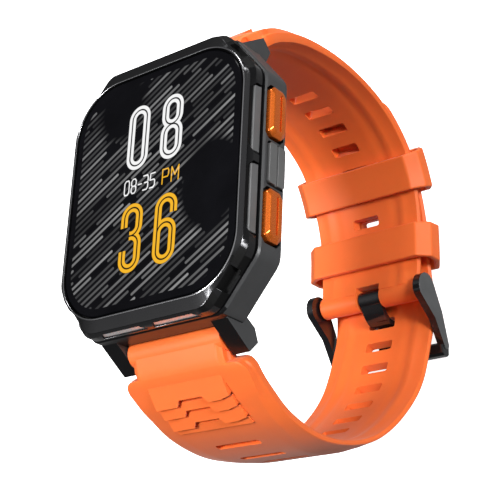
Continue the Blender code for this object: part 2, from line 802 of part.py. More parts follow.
def make_bezel(metal):
    opening = rounded_rectangle(
        GLASS_HALF_X + GLASS_CLEARANCE, GLASS_HALF_Y + GLASS_CLEARANCE, GLASS_CORNER
    )
    lip = rounded_rectangle(
        GLASS_HALF_X + GLASS_CLEARANCE + LIP_WIDTH,
        GLASS_HALF_Y + GLASS_CLEARANCE + LIP_WIDTH,
        GLASS_CORNER,
    )
    seat = rounded_rectangle(
        GLASS_HALF_X - SEAT_WIDTH, GLASS_HALF_Y - SEAT_WIDTH, GLASS_CORNER - SEAT_WIDTH
    )
    front = case_outline(BEZEL_TAPER)
    rear = case_outline()
    angles = outline_angles(opening, front)
    loops = ring_of(
        [
            (opening, BEZEL_LIP), (lip, BEZEL_LIP - LIP_SLOPE), (front, BEZEL_EDGE_Z),
            (rear, BEZEL_EDGE_Z - BEZEL_TAPER_DROP), (rear, -BEZEL_DEPTH), (seat, -BEZEL_DEPTH),
            (seat, SEAT_Z), (opening, SEAT_Z),
        ],
        angles,
    )
    builder = bmesh.new()
    add_loft(builder, loops, closed=True)
    bmesh.ops.triangulate(builder, faces=builder.faces)
    bezel = finish_mesh("bezel", builder, metal, smooth_angle=30)
    recesses = bmesh.new()
    for sign in (1, -1):
        for low in (SIDE_RIB / 2, -SIDE_RIB / 2 - SIDE_RECESS_LENGTH):
            side_recess(recesses, sign, low, low + SIDE_RECESS_LENGTH)
        for low in (END_RIB / 2, -END_RIB / 2 - END_RECESS_LENGTH):
            end_recess(recesses, sign, low, low + END_RECESS_LENGTH)
        for sign_y in (1, -1):
            corner_slot(recesses, sign, sign_y)
    cut(bezel, finish_mesh("bezel_recesses", recesses, None))


def lug_outline(side):
    """One lug seen from the side, as (y, z) from the case wall to its tip."""
    wall = CASE_HALF_Y - LUG_ROOT
    points = [
        (wall, LUG_TOP_Z + 0.6), (BAR_Y - 1.0, LUG_TOP_Z), (BAR_Y + 3.3, BAR_Z - 1.2),
        (BAR_Y + 1.1, BAR_Z - 3.4), (BAR_Y - 1.4, BAR_Z - 2.3), (wall, BAR_Z + 0.9),
    ]
    return [(side * y, z) for y, z in points]


def make_lugs(mid_case):
    """Hollow the case's ends for the strap rolls, then add the lugs and drill them."""
    clearings = bmesh.new()
    lugs = bmesh.new()
    holes = bmesh.new()
    for side in (1, -1):
        centre = (side * BAR_Y, BAR_Z)
        clearing = circle(STRAP_ROLL_RADIUS + SLIDE_GAP, centre)
        clearing_half = LUG_GAP / 2 + LUG_OVERLAP
        add_prism(clearings, clearing, -clearing_half, clearing_half, "x")
        for sign in (1, -1):
            inner = sign * LUG_GAP / 2
            outer = sign * (LUG_GAP / 2 + LUG_WIDTH)
            add_prism(lugs, lug_outline(side), min(inner, outer), max(inner, outer), "x")
        reach = LUG_GAP / 2 + BAR_ENTRY + TOUCH_GAP
        add_prism(holes, circle(BAR_RADIUS + BAR_CLEARANCE, centre, 12), -reach, reach, "x")
    cut(mid_case, finish_mesh("strap_clearings", clearings, None))
    join(mid_case, finish_mesh("lugs", lugs, None))
    cut(mid_case, finish_mesh("bar_holes", holes, None))


def cut_button_seats(mid_case):
    pockets = bmesh.new()
    bores = bmesh.new()
    glands = bmesh.new()
    wall_inside = CAVITY_HALF_X - BORE_RUN_OUT
    gland_radius = STEM_RADIUS + 2 * TOUCH_GAP + 2 * SEAL_RING_RADIUS
    for sign in (1, -1):
        centre = (sign * BUTTON_Y, BUTTON_Z)
        pocket = chamfered_box(
            centre, BUTTON_HALF_Y + SLIDE_GAP, BUTTON_HALF_Z + SLIDE_GAP, BUTTON_CORNER
        )
        add_prism(pockets, pocket, RECESS_FLOOR_X, MID_HALF_X + OVERCUT, "x")
        bore = circle(STEM_RADIUS + TOUCH_GAP, centre, 12)
        add_prism(bores, bore, wall_inside, RECESS_FLOOR_X + 0.5, "x")
        gland = circle(gland_radius, centre, 16)
        add_prism(glands, gland, wall_inside, CAVITY_HALF_X + GLAND_DEPTH, "x")
    trim = chamfered_box(
        (0.0, TRIM_Z), TRIM_HALF_Y + TOUCH_GAP, TRIM_HALF_Z + TOUCH_GAP, TRIM_CORNER
    )
    add_prism(pockets, trim, MID_HALF_X - TRIM_THICK / 2 - TOUCH_GAP, MID_HALF_X + OVERCUT, "x")
    cut(mid_case, finish_mesh("button_pockets", pockets, None))
    cut(mid_case, finish_mesh("stem_bores", bores, None))
    cut(mid_case, finish_mesh("seal_glands", glands, None))


def cut_sound_ports(mid_case):
    """Speaker slots and one microphone hole in the 9 o'clock wall."""
    ports = bmesh.new()
    outside = -MID_HALF_X - OVERCUT
    inside = -CAVITY_HALF_X + OVERCUT
    for i in range(PORT_COUNT):
        centre = (PORT_Y + PORT_PITCH * i, BUTTON_Z)
        add_prism(ports, box_outline(centre, PORT_HALF_Y, PORT_HALF_Z), outside, inside, "x")
    hole = circle(PORT_HALF_Z, (MICROPHONE_PORT_Y, BUTTON_Z), 8)
    add_prism(ports, hole, outside, inside, "x")
    cut(mid_case, finish_mesh("sound_ports", ports, None))


def screw_places():
    reach_x = CASE_HALF_X - SCREW_INSET_X
    reach_y = CASE_HALF_Y - SCREW_INSET_Y
    return [(x * reach_x, y * reach_y) for x in (1, -1) for y in (1, -1)]


def make_mid_case(shell):
    top = case_outline(0.3, MID_HALF_X, MID_HALF_Y)
    side = case_outline(0.0, MID_HALF_X, MID_HALF_Y)
    foot = case_outline(CASE_CHAMFER, MID_HALF_X, MID_HALF_Y)
    inside = cavity_outline()
    angles = outline_angles(side, inside)
    loops = ring_of(
        [
            (top, MID_TOP_Z), (side, MID_TOP_Z - 0.5), (side, CHAMFER_TOP_Z),
            (foot, -MID_DEPTH), (inside, -MID_DEPTH), (inside, MID_TOP_Z),
        ],
        angles,
    )
    builder = bmesh.new()
    add_loft(builder, loops, closed=True)
    bmesh.ops.triangulate(builder, faces=builder.faces)
    mid_case = finish_mesh("mid_case", builder, shell, smooth_angle=30)
    make_lugs(mid_case)
    cut_button_seats(mid_case)
    cut_sound_ports(mid_case)
    holes = bmesh.new()
    for place in screw_places():
        outline = circle(SCREW_SHANK_RADIUS + TOUCH_GAP, place, 10)
        hole_top = COVER_BOTTOM_Z + SCREW_LENGTH + 2 * TOUCH_GAP
        add_prism(holes, outline, -MID_DEPTH - 1, hole_top)
    cut(mid_case, finish_mesh("screw_bores", holes, None))


def make_back(cover_material, glass, board, steel, gold, rubber):
    top = case_outline(CASE_CHAMFER, MID_HALF_X, MID_HALF_Y)
    bottom = case_outline(CASE_CHAMFER + COVER_TAPER, MID_HALF_X, MID_HALF_Y)
    builder = bmesh.new()
    loops = [
        [(x, y, COVER_TOP_Z) for x, y in top],
        [(x, y, COVER_TOP_Z - COVER_THICK / 2) for x, y in top],
        [(x, y, COVER_BOTTOM_Z) for x, y in bottom],
    ]
    add_loft(builder, loops)
    cover = finish_mesh("back_cover", builder, cover_material, smooth_angle=30)

    through_radius = WINDOW_RADIUS - WINDOW_LEDGE
    ledge_z = COVER_BOTTOM_Z + WINDOW_SEAT_DEPTH
    holes = bmesh.new()
    add_prism(holes, circle(through_radius, steps=28), ledge_z - 0.1, COVER_TOP_Z + OVERCUT)
    for sign in (1, -1):
        place = (sign * CONTACT_SPACING / 2, CONTACT_Y)
        hole = circle(CONTACT_RADIUS + TOUCH_GAP, place, 12)
        add_prism(holes, hole, COVER_BOTTOM_Z - 1, COVER_TOP_Z + 1)
    for place in screw_places():
        shank = circle(SCREW_SHANK_RADIUS + TOUCH_GAP, place, 10)
        add_prism(holes, shank, COVER_BOTTOM_Z - 1, COVER_TOP_Z + 1)
    cut(cover, finish_mesh("cover_holes", holes, None))
    seats = bmesh.new()
    add_prism(seats, circle(WINDOW_RADIUS + TOUCH_GAP, steps=28), COVER_BOTTOM_Z - 1, ledge_z)
    head_seat_z = COVER_BOTTOM_Z + SCREW_HEAD_THICK + TOUCH_GAP
    for place in screw_places():
        seat = circle(SCREW_HEAD_RADIUS + TOUCH_GAP, place, 16)
        add_prism(seats, seat, COVER_BOTTOM_Z - 1, head_seat_z)
    cut(cover, finish_mesh("cover_seats", seats, None))

    window_top = ledge_z - TOUCH_GAP
    disc_stack(
        "sensor_window",
        [(WINDOW_RADIUS, window_top), (WINDOW_RADIUS, window_top - WINDOW_THICK / 2),
         (WINDOW_RADIUS - WINDOW_DOME, window_top - WINDOW_THICK)],
        (0.0, 0.0), glass,
    )
    sensor_top = COVER_TOP_Z + 0.1
    disc_stack(
        "sensor_board",
        [(SENSOR_BOARD_RADIUS, sensor_top - SENSOR_BOARD_THICK), (SENSOR_BOARD_RADIUS, sensor_top)],
        (0.0, 0.0), board,
    )
    for i, sign in enumerate((-1, 1), start=1):
        place = (sign * CONTACT_SPACING / 2, CONTACT_Y)
        disc_stack(
            f"charging_contact_{i}",
            [(CONTACT_RADIUS, COVER_BOTTOM_Z - CONTACT_RISE), (CONTACT_RADIUS, COVER_TOP_Z)],
            place, gold,
        )
    for i, place in enumerate(screw_places(), start=1):
        under_head = COVER_BOTTOM_Z + SCREW_HEAD_THICK
        screw = disc_stack(
            f"back_screw_{i}",
            [(SCREW_HEAD_RADIUS, COVER_BOTTOM_Z), (SCREW_HEAD_RADIUS, under_head),
             (SCREW_SHANK_RADIUS, under_head),
             (SCREW_SHANK_RADIUS, COVER_BOTTOM_Z + SCREW_LENGTH)],
            place, steel,
        )
        slot = box_outline(place, SCREW_HEAD_RADIUS * 0.6, DRIVER_SLOT / 2)
        slot_top = COVER_BOTTOM_Z + DRIVER_SLOT
        cut(screw, prism(f"driver_slot_{i}", slot, COVER_BOTTOM_Z - OVERCUT, slot_top, None))

    seal_outer = cavity_outline(-SEAL_OUTSET)
    seal_inner = cavity_outline(-SEAL_OUTSET + SEAL_WIDTH)
    groove_outer = cavity_outline(-SEAL_OUTSET - TOUCH_GAP)
    groove_inner = cavity_outline(-SEAL_OUTSET + SEAL_WIDTH + TOUCH_GAP)
    angles = outline_angles(seal_outer)
    seal_z = COVER_TOP_Z - SEAL_GROOVE + TOUCH_GAP
    for name, outer, inner, low, high, material in (
        ("seal_groove", groove_outer, groove_inner, COVER_TOP_Z - SEAL_GROOVE, COVER_TOP_Z + 1, None),
        ("back_gasket", seal_outer, seal_inner, seal_z, COVER_TOP_Z, rubber),
    ):
        ring = ring_of([(outer, low), (outer, high), (inner, high), (inner, low)], angles)
        builder = bmesh.new()
        add_loft(builder, ring, closed=True)
        item = finish_mesh(name, builder, material)
        if material is None:
            cut(cover, item)


def make_inside(plastic, board, shield_metal, cell, steel, copper, black):
    floor_z = CHASSIS_FLOOR_TOP_Z - CHASSIS_FLOOR_THICK
    chassis = prism("chassis", chassis_outline(), CHASSIS_BOTTOM_Z, CHASSIS_TOP_Z, plastic)
    pocket = chassis_outline(CHASSIS_WALL)
    cut(chassis, prism("board_bay", pocket, CHASSIS_FLOOR_TOP_Z, CHASSIS_TOP_Z + 1, None))
    cut(chassis, prism("battery_bay", pocket, CHASSIS_BOTTOM_Z - 1, floor_z, None))
    slit_y = -CHASSIS_HALF_Y + CHASSIS_WALL + 2 * CABLE_SLIT_HALF_Y
    slit = box_outline((0.0, slit_y), CABLE_SLIT_HALF_X, CABLE_SLIT_HALF_Y)
    cut(chassis, prism("cable_slit", slit, floor_z - 1, CHASSIS_FLOOR_TOP_Z + 1, None))

    board_low = CHASSIS_FLOOR_TOP_Z + TOUCH_GAP
    board_top = board_low + BOARD_THICK
    outline = chassis_outline(CHASSIS_WALL + TOUCH_GAP)
    main_board = prism("main_board", outline, board_low, board_top, board)
    flex_notch = box_outline((0.0, slit_y), CABLE_SLIT_HALF_X, 2 * CABLE_SLIT_HALF_Y)
    cut(main_board, prism("flex_notch", flex_notch, board_low - 1, board_top + 1, None))
    part_low = board_top + TOUCH_GAP
    shield = chamfered_box(SHIELD_CENTRE, SHIELD_HALF, SHIELD_HALF, 0.8)
    prism("processor_shield", shield, part_low, part_low + SHIELD_HEIGHT, shield_metal)
    receiver = chamfered_box(RECEIVER_CENTRE, RECEIVER_HALF, RECEIVER_HALF, 0.5)
    prism("gps_receiver", receiver, part_low, part_low + SHIELD_HEIGHT, shield_metal)
    microphone = box_outline(MICROPHONE_CENTRE, MICROPHONE_HALF_X, MICROPHONE_HALF_Y)
    prism("microphone", microphone, part_low, part_low + SHIELD_HEIGHT, steel)
    connector = box_outline(CONNECTOR_CENTRE, CONNECTOR_HALF_X, CONNECTOR_HALF_Y)
    prism("display_connector", connector, part_low, part_low + CONNECTOR_HEIGHT, black)

    cell_top = floor_z - TOUCH_GAP
    outline = chamfered_box((0.0, BATTERY_Y), BATTERY_HALF_X, BATTERY_HALF_Y, BATTERY_CORNER)
    battery = prism("battery", outline, cell_top - BATTERY_THICK, cell_top, cell)
    bevel = battery.modifiers.new("soft_edges", "BEVEL")
    bevel.width = BATTERY_EDGE * MM
    bevel.segments = 2
    disc_stack(
        "vibration_motor",
        [(MOTOR_RADIUS, cell_top - MOTOR_THICK), (MOTOR_RADIUS, cell_top)],
        MOTOR_CENTRE, steel,
    )
    speaker = chamfered_box(SPEAKER_CENTRE, SPEAKER_HALF_X, SPEAKER_HALF_Y, 0.9)
    prism("speaker", speaker, cell_top - MOTOR_THICK, cell_top, black)

    antenna_y = CHASSIS_HALF_Y + TOUCH_GAP
    foot_y = antenna_y + ANTENNA_THICK
    foil_low = CHASSIS_BOTTOM_Z + ANTENNA_INSET
    foil_high = CHASSIS_TOP_Z - ANTENNA_INSET / 2
    foil = [(antenna_y, foil_low), (foot_y, foil_low), (foot_y, foil_high), (antenna_y, foil_high)]
    prism("gps_antenna", foil, -ANTENNA_HALF_X, ANTENNA_HALF_X, copper, "x")


def make_buttons(orange, rubber, black, trim_material):
    face_x = MID_HALF_X + BUTTON_PROUD
    root_x = face_x - BUTTON_THICK
    for name, sign in (("upper", 1), ("lower", -1)):
        centre = (sign * BUTTON_Y, BUTTON_Z)
        origin = (root_x, *centre)
        base = chamfered_box(centre, BUTTON_HALF_Y, BUTTON_HALF_Z, BUTTON_CORNER)
        crown = chamfered_box(centre, BUTTON_HALF_Y - BUTTON_CROWN_INSET_Y,
                              BUTTON_HALF_Z - BUTTON_CROWN_INSET_Z, BUTTON_CORNER)
        stem = circle(STEM_RADIUS, centre, 12)
        builder = bmesh.new()
        loops = [
            [(root_x, y, z) for y, z in base],
            [(face_x - BUTTON_EDGE, y, z) for y, z in base],
            [(face_x, y, z) for y, z in crown],
        ]
        add_loft(builder, loops)
        button = finish_mesh(f"button_{name}", builder, orange, origin)
        join(button, prism(f"stem_{name}", stem, root_x - STEM_LENGTH, root_x + 0.5, None, "x"))
        groove_centre = (centre[0], centre[1] - BUTTON_GROOVE_DROP)
        groove = box_outline(
            groove_centre, BUTTON_HALF_Y * BUTTON_GROOVE_SHARE, BUTTON_GROOVE / 2
        )
        groove_floor = face_x - BUTTON_GROOVE_DEPTH
        cut(button, prism(f"groove_{name}", groove, groove_floor, face_x + OVERCUT, None, "x"))

        seal_centre_x = CAVITY_HALF_X + GLAND_DEPTH - TOUCH_GAP - SEAL_RING_RADIUS
        ring_radius = STEM_RADIUS + TOUCH_GAP + SEAL_RING_RADIUS
        loops = []
        for y, z in circle(1.0, steps=16):
            loop = []
            for across, along in circle(SEAL_RING_RADIUS, steps=8):
                reach = ring_radius + across
                loop.append((seal_centre_x + along, centre[0] + y * reach, centre[1] + z * reach))
            loops.append(loop)
        builder = bmesh.new()
        add_loft(builder, loops, closed=True)
        finish_mesh(f"button_seal_{name}", builder, rubber, smooth_angle=60)

        stem_end = root_x - STEM_LENGTH
        switch_x = stem_end - BUTTON_TRAVEL - SWITCH_GAP
        prism(f"button_switch_{name}", box_outline(centre, SWITCH_HALF_Y, SWITCH_HALF_Z),
              switch_x - SWITCH_THICK, switch_x, black, "x")

    centre = (0.0, TRIM_Z)
    low = MID_HALF_X - TRIM_THICK / 2
    face = low + TRIM_THICK
    trim = prism("side_trim", chamfered_box(centre, TRIM_HALF_Y, TRIM_HALF_Z, TRIM_CORNER),
                 low, face, trim_material, "x")
    groove = box_outline(centre, TRIM_HALF_Y + OVERCUT, TRIM_GROOVE / 2)
    cut(trim, prism("trim_groove", groove, face - TRIM_GROOVE, face + OVERCUT, None, "x"))


# Keepers and buckle

def keeper_loops(path, distance, side, stack, grow):
    """Eight-cornered outlines round both straps along its length, grown outward by a wall."""
    corners = [
        (side - KEEPER_BEVEL + grow / 2, -SLIDE_GAP - grow), (side + grow, KEEPER_EDGE_RISE),
        (side + grow, 0.6 * stack), (side - KEEPER_BEVEL + grow / 2, stack + SLIDE_GAP + grow),
    ]
    ring = corners + [(-x, v) for x, v in reversed(corners)]
    loops = []
    for along in (-KEEPER_LENGTH / 2, 0.0, KEEPER_LENGTH / 2):
        point, _, outward = path.at(distance + along)
        loops.append([(x, *(point + outward * v)) for x, v in ring])
    return loops


def make_keeper(name, path, distance, side, stack, origin, material):
    outer = keeper_loops(path, distance, side, stack, KEEPER_WALL)
    inner = keeper_loops(path, distance, side, stack, 0.0)
    builder = bmesh.new()
    add_loft(builder, outer + inner[::-1], closed=True)
    finish_mesh(name, builder, material, (0.0, *origin))


def arc_centre(path, distance):
    """Centre of the circle that the path follows round a distance, which a keeper slides about."""
    first, second, third = [
        path.at(distance + along)[0] for along in (-KEEPER_ARC_HALF, 0.0, KEEPER_ARC_HALF)
    ]
    chords = 2 * np.array([second - first, third - first])
    return np.linalg.solve(chords, [second @ second - first @ first, third @ third - first @ first])


def make_keepers(path, rubber):
    stack = UPPER_THICK + LAYER_GAP + LOWER_THICK
    fixed_at = path.length - FIXED_KEEPER_FROM_PIN
    free_at = path.length - FREE_KEEPER_FROM_PIN
    side = upper_half_width(fixed_at, path) + FIXED_KEEPER_SIDE_GAP
    make_keeper("keeper_fixed", path, fixed_at, side, stack + FIXED_KEEPER_SLACK,
                path.at(fixed_at)[0], rubber)
    side = upper_half_width(free_at, path) + FREE_KEEPER_SIDE_GAP
    make_keeper("keeper_free", path, free_at, side, stack + FREE_KEEPER_SLACK,
                arc_centre(path, free_at), rubber)


def arm_outline():
    """Side view of one buckle arm: a round boss over the pin, bowed down to a small round tip."""
    boss = np.array([PIN_Y - ARM_BOSS_SET_BACK, PIN_Z + ARM_BOSS_RISE])
    tip = np.array([PIN_Y - ARM_REACH, PIN_Z - ARM_DROP])
    along = (tip - boss) / np.linalg.norm(tip - boss)
    across = np.array([-along[1], along[0]])
    middle = (boss + tip) / 2 + across * ARM_BOW
    heading = math.atan2(along[1], along[0])
    points = []
    for i in range(11):
        angle = heading + math.pi / 2 + math.pi * i / 10
        points.append(boss + ARM_BOSS_RADIUS * np.array([math.cos(angle), math.sin(angle)]))
    points.append(middle - across * ARM_MID_HALF)
    for i in range(7):
        angle = heading - math.pi / 2 + math.pi * i / 6
        points.append(tip + ARM_TIP_RADIUS * np.array([math.cos(angle), math.sin(angle)]))
    points.append(middle + across * ARM_MID_HALF)
    return points


def tongue_blade(lower, tongue_slot, bar_y, bar_bottom):
    """The tongue's side view: over the strap end, through the slot and on to the far bar."""
    point, _, outward = lower.at(tongue_slot)
    through = point + outward * LOWER_THICK / 2
    half = TONGUE_THICK / 2
    rest_z = bar_bottom + TONGUE_REST_DEPTH - TOUCH_GAP - half
    spine = [
        (PIN_Y - TONGUE_EYE_RADIUS + 0.5, PIN_Z + 0.4),
        (PIN_Y - TONGUE_EYE_RADIUS - 1.2, PIN_Z - 0.9),
        tuple(through - outward * (LOWER_THICK / 2 + 0.6)),
        tuple(through + outward * (LOWER_THICK / 2 + 0.1)),
        (through[0] - 1.6, rest_z + 0.25),
        (through[0] - 4.0, rest_z),
        (bar_y - BAR_HALF_Y + 0.2, rest_z),
    ]
    curve = curve_through(spine, 0.7)
    directions = np.gradient(curve, axis=0)
    directions /= np.linalg.norm(directions, axis=1)[:, None]
    sideways = np.column_stack([-directions[:, 1], directions[:, 0]])
    return list(curve + sideways * half) + list((curve - sideways * half)[::-1])


def make_buckle(steel, lower, tongue_slot):
    outline = arm_outline()
    inner_x = UPPER_END_HALF + ARM_SIDE_GAP
    outer_x = inner_x + ARM_THICK
    origin = (0.0, PIN_Y, PIN_Z)
    frame = prism("buckle_frame", outline, inner_x, outer_x, steel, "x", origin, 30)
    join(frame, prism("left_arm", outline, -outer_x, -inner_x, None, "x"))
    bar_y = PIN_Y - ARM_REACH - BAR_SET_BACK
    bar_z = PIN_Z - ARM_DROP
    bar = chamfered_box((bar_y, bar_z), BAR_HALF_Y, BAR_THICK / 2, 0.5)
    bar_reach = outer_x - 0.2
    join(frame, prism("far_bar", bar, -bar_reach, bar_reach, None, "x"))
    socket = outer_x - ARM_SKIN
    holes = circle(PIN_RADIUS + BAR_CLEARANCE, (PIN_Y, PIN_Z), 12)
    cut(frame, prism("pin_sockets", holes, -socket, socket, None, "x"))
    bar_bottom = bar_z - BAR_THICK / 2
    notch = box_outline((bar_y, bar_bottom), BAR_HALF_Y + 1, TONGUE_REST_DEPTH)
    notch_half = TONGUE_HALF + TONGUE_NOTCH_GAP
    cut(frame, prism("tongue_rest", notch, -notch_half, notch_half, None, "x"))

    pin_reach = socket - TOUCH_GAP
    prism("buckle_pin", circle(PIN_RADIUS, (PIN_Y, PIN_Z), 12), -pin_reach, pin_reach,
          steel, "x", smooth=40)

    eye = circle(TONGUE_EYE_RADIUS, (PIN_Y, PIN_Z), 16)
    tongue = prism("buckle_tongue", eye, -TONGUE_HALF, TONGUE_HALF, steel, "x", origin, 30)
    blade = tongue_blade(lower, tongue_slot, bar_y, bar_bottom)
    join(tongue, prism("tongue_blade", blade, -TONGUE_HALF, TONGUE_HALF, None, "x"))
    bore = circle(PIN_RADIUS + BAR_CLEARANCE, (PIN_Y, PIN_Z), 12)
    cut(tongue, prism("tongue_bore", bore, -TONGUE_HALF - 1, TONGUE_HALF + 1, None, "x"))


def stand_on_origin():
    """Move every object so that the origin is under the middle of the watch's box."""
    bpy.context.view_layer.update()
    graph = bpy.context.evaluated_depsgraph_get()
    corners = []
    for item in bpy.data.objects:
        if item.hide_render:
            continue
        evaluated = item.evaluated_get(graph)
        mesh = evaluated.to_mesh()
        points = np.empty(len(mesh.vertices) * 3)
        mesh.vertices.foreach_get("co", points)
        points = points.reshape(-1, 3) + np.array(item.location)
        corners += [points.min(axis=0), points.max(axis=0)]
        evaluated.to_mesh_clear()
    low = np.min(corners, axis=0)
    high = np.max(corners, axis=0)
    middle = (low + high) / 2
    shift = (-middle[0], -middle[1], -low[2])
    for item in bpy.data.objects:
        item.location = [place + move for place, move in zip(item.location, shift)]


def main():
    for item in list(bpy.data.objects):
        bpy.data.objects.remove(item, do_unlink=True)

    silicone = make_material("orange_silicone", (0.90, 0.16, 0.02), 0.55)
    button_orange = make_material("orange_button", (0.95, 0.22, 0.03), 0.35, 0.3)
    gunmetal = make_material("gunmetal", (0.03, 0.03, 0.035), 0.35, 0.8)
    shell = make_material("grey_shell", (0.06, 0.06, 0.065), 0.4, 0.4)
    black_plastic = make_material("black_plastic", (0.02, 0.02, 0.02), 0.45)
    glass = make_material("black_glass", (0.01, 0.01, 0.012), 0.05)
    panel = make_material("display", (0.02, 0.02, 0.03), 0.1)
    steel = make_material("black_steel", (0.05, 0.05, 0.055), 0.2, 1.0)
    seal = make_material("seal_rubber", (0.03, 0.03, 0.03), 0.7)
    board = make_material("circuit_board", (0.02, 0.12, 0.05), 0.5)
    shield = make_material("shield_tin", (0.6, 0.6, 0.6), 0.3, 1.0)
    cell = make_material("cell_wrap", (0.35, 0.37, 0.4), 0.4, 0.2)
    copper = make_material("copper", (0.75, 0.4, 0.2), 0.35, 1.0)
    gold = make_material("gold", (0.8, 0.6, 0.25), 0.3, 1.0)
    trim = make_material("grey_trim", (0.2, 0.2, 0.2), 0.35, 0.6)

    make_glass_stack(glass, panel, seal)
    make_bezel(gunmetal)
    make_mid_case(shell)
    make_back(black_plastic, glass, board, steel, gold, seal)
    make_inside(black_plastic, board, shield, cell, steel, copper, black_plastic)
    make_buttons(button_orange, seal, black_plastic, trim)

    upper = make_upper_path()
    lower = make_lower_path(upper)
    tongue_slot = make_straps(upper, lower, silicone)
    make_spring_bars(steel)
    make_keepers(upper, silicone)
    make_buckle(steel, lower, tongue_slot)
    stand_on_origin()


main()
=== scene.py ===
import json
import math

import bmesh
import bpy
import numpy as np
from mathutils import Matrix, Vector


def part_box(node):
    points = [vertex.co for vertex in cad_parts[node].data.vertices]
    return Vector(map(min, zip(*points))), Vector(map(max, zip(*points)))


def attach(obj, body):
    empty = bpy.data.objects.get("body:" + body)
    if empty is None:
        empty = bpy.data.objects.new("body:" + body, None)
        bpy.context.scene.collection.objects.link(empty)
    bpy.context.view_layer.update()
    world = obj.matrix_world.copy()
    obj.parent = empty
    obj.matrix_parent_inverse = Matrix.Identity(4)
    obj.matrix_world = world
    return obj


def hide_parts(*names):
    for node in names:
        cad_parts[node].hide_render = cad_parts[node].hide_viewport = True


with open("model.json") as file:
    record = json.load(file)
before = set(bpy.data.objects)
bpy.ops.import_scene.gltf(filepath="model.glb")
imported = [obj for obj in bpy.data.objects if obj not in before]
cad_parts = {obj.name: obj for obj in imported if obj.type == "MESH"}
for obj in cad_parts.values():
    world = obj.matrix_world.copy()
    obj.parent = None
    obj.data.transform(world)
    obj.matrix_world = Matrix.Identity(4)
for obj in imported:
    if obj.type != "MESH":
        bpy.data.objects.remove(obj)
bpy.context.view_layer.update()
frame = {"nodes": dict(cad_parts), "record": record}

# Every shape below is drawn in millimetres from the middle of the cover glass's outer face:
# +X to the 3 o'clock side, +Y to 12 o'clock, +Z out of the dial.
MM = 0.001
GLASS_LOW, GLASS_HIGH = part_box("cover_glass")
ORIGIN = Vector((
    (GLASS_LOW.x + GLASS_HIGH.x) / 2, (GLASS_LOW.y + GLASS_HIGH.y) / 2, GLASS_HIGH.z
))

# Camera: solved place and turn
CAMERA_PLACE = (153.353, -101.590, 155.678)
CAMERA_RIGHT = (0.77917706, 0.04161816, -0.62557464)
CAMERA_UP = (0.20778908, 0.92424284, 0.32041199)
CAMERA_LENS = 95.575

# Glass and bezel
GLASS_HALF_X = 20.4
GLASS_HALF_Y = 23.6
GLASS_CORNER = 10.0
GLASS_GAP = 0.25
CASE_HALF_X = 22.3
CASE_HALF_Y = 26.9
CORNER_CUT_X = 7.6
CORNER_CUT_Y = 9.4
CORNER_SOFT = 1.6
BEZEL_DEPTH = 3.4
EDGE_Z = -0.45
OUTER_EDGE_DROP = 1.1
SEAT_Z = -1.9
SEAT_WIDTH = 1.9
RECESS_DEPTH = 0.6

# Strap
BAR_Y = 27.9
BAR_Z = -10.9
ROLL_RADIUS = 2.6
ROOT_HALF = 10.85
SHOULDER = 3.4
SHOULDER_HALF = 14.6
UPPER_END_HALF = 12.6
LOWER_END_HALF = 12.7
ROOT_THICK = 5.0
LUG_END_THICK = 4.1
UPPER_THICK = 2.5
LOWER_THICK = 2.3
LAYER_GAP = 0.4
LOOP_DEPTH = 60.7
UPPER_BULGE = 10.0
LOWER_BULGE = 12.0
PIN_Y = 0.0
PIN_Z = BAR_Z - LOOP_DEPTH
BUCKLE_ROLL_RADIUS = 2.4
SLOT_HALF = 3.3
SLOT_LENGTH = 2.3
SLOT_PITCH = 5.7
SLOT_CORNER = 0.45

EYE_RADIUS = 1.1
PIERCE = 1.5

# Keepers
KEEPER_WALL = 1.3
KEEPER_LENGTH = 7.9
FIXED_FROM_PIN = 10.2
FREE_FROM_PIN = 25.7
FIXED_SLACK = 1.3
FREE_SLACK = 0.4
FIXED_SIDE_GAP = 1.7
FREE_SIDE_GAP = 1.2


# ---------------------------------------------------------------- materials

def new_material(name):
    material = bpy.data.materials.new(name)
    material.use_nodes = True
    tree = material.node_tree
    return material, tree, tree.nodes["Principled BSDF"]


def link(tree, source, target):
    tree.links.new(source, target)


def noise(tree, scale, detail=4.0, roughness=0.6):
    """Noise over the piece, scale in features per metre."""
    place = tree.nodes.new("ShaderNodeTexCoord")
    texture = tree.nodes.new("ShaderNodeTexNoise")
    texture.inputs["Scale"].default_value = scale
    texture.inputs["Detail"].default_value = detail
    texture.inputs["Roughness"].default_value = roughness
    link(tree, place.outputs["Object"], texture.inputs["Vector"])
    return texture.outputs["Fac"]


def ramp(tree, value, stops):
    node = tree.nodes.new("ShaderNodeValToRGB")
    elements = node.color_ramp.elements
    while len(elements) < len(stops):
        elements.new(0.5)
    for element, (position, colour) in zip(elements, stops):
        element.position = position
        element.color = (*colour, 1.0)
    link(tree, value, node.inputs["Fac"])
    return node.outputs["Color"]


def shade(colour, factor):
    return tuple(min(channel * factor, 1.0) for channel in colour)


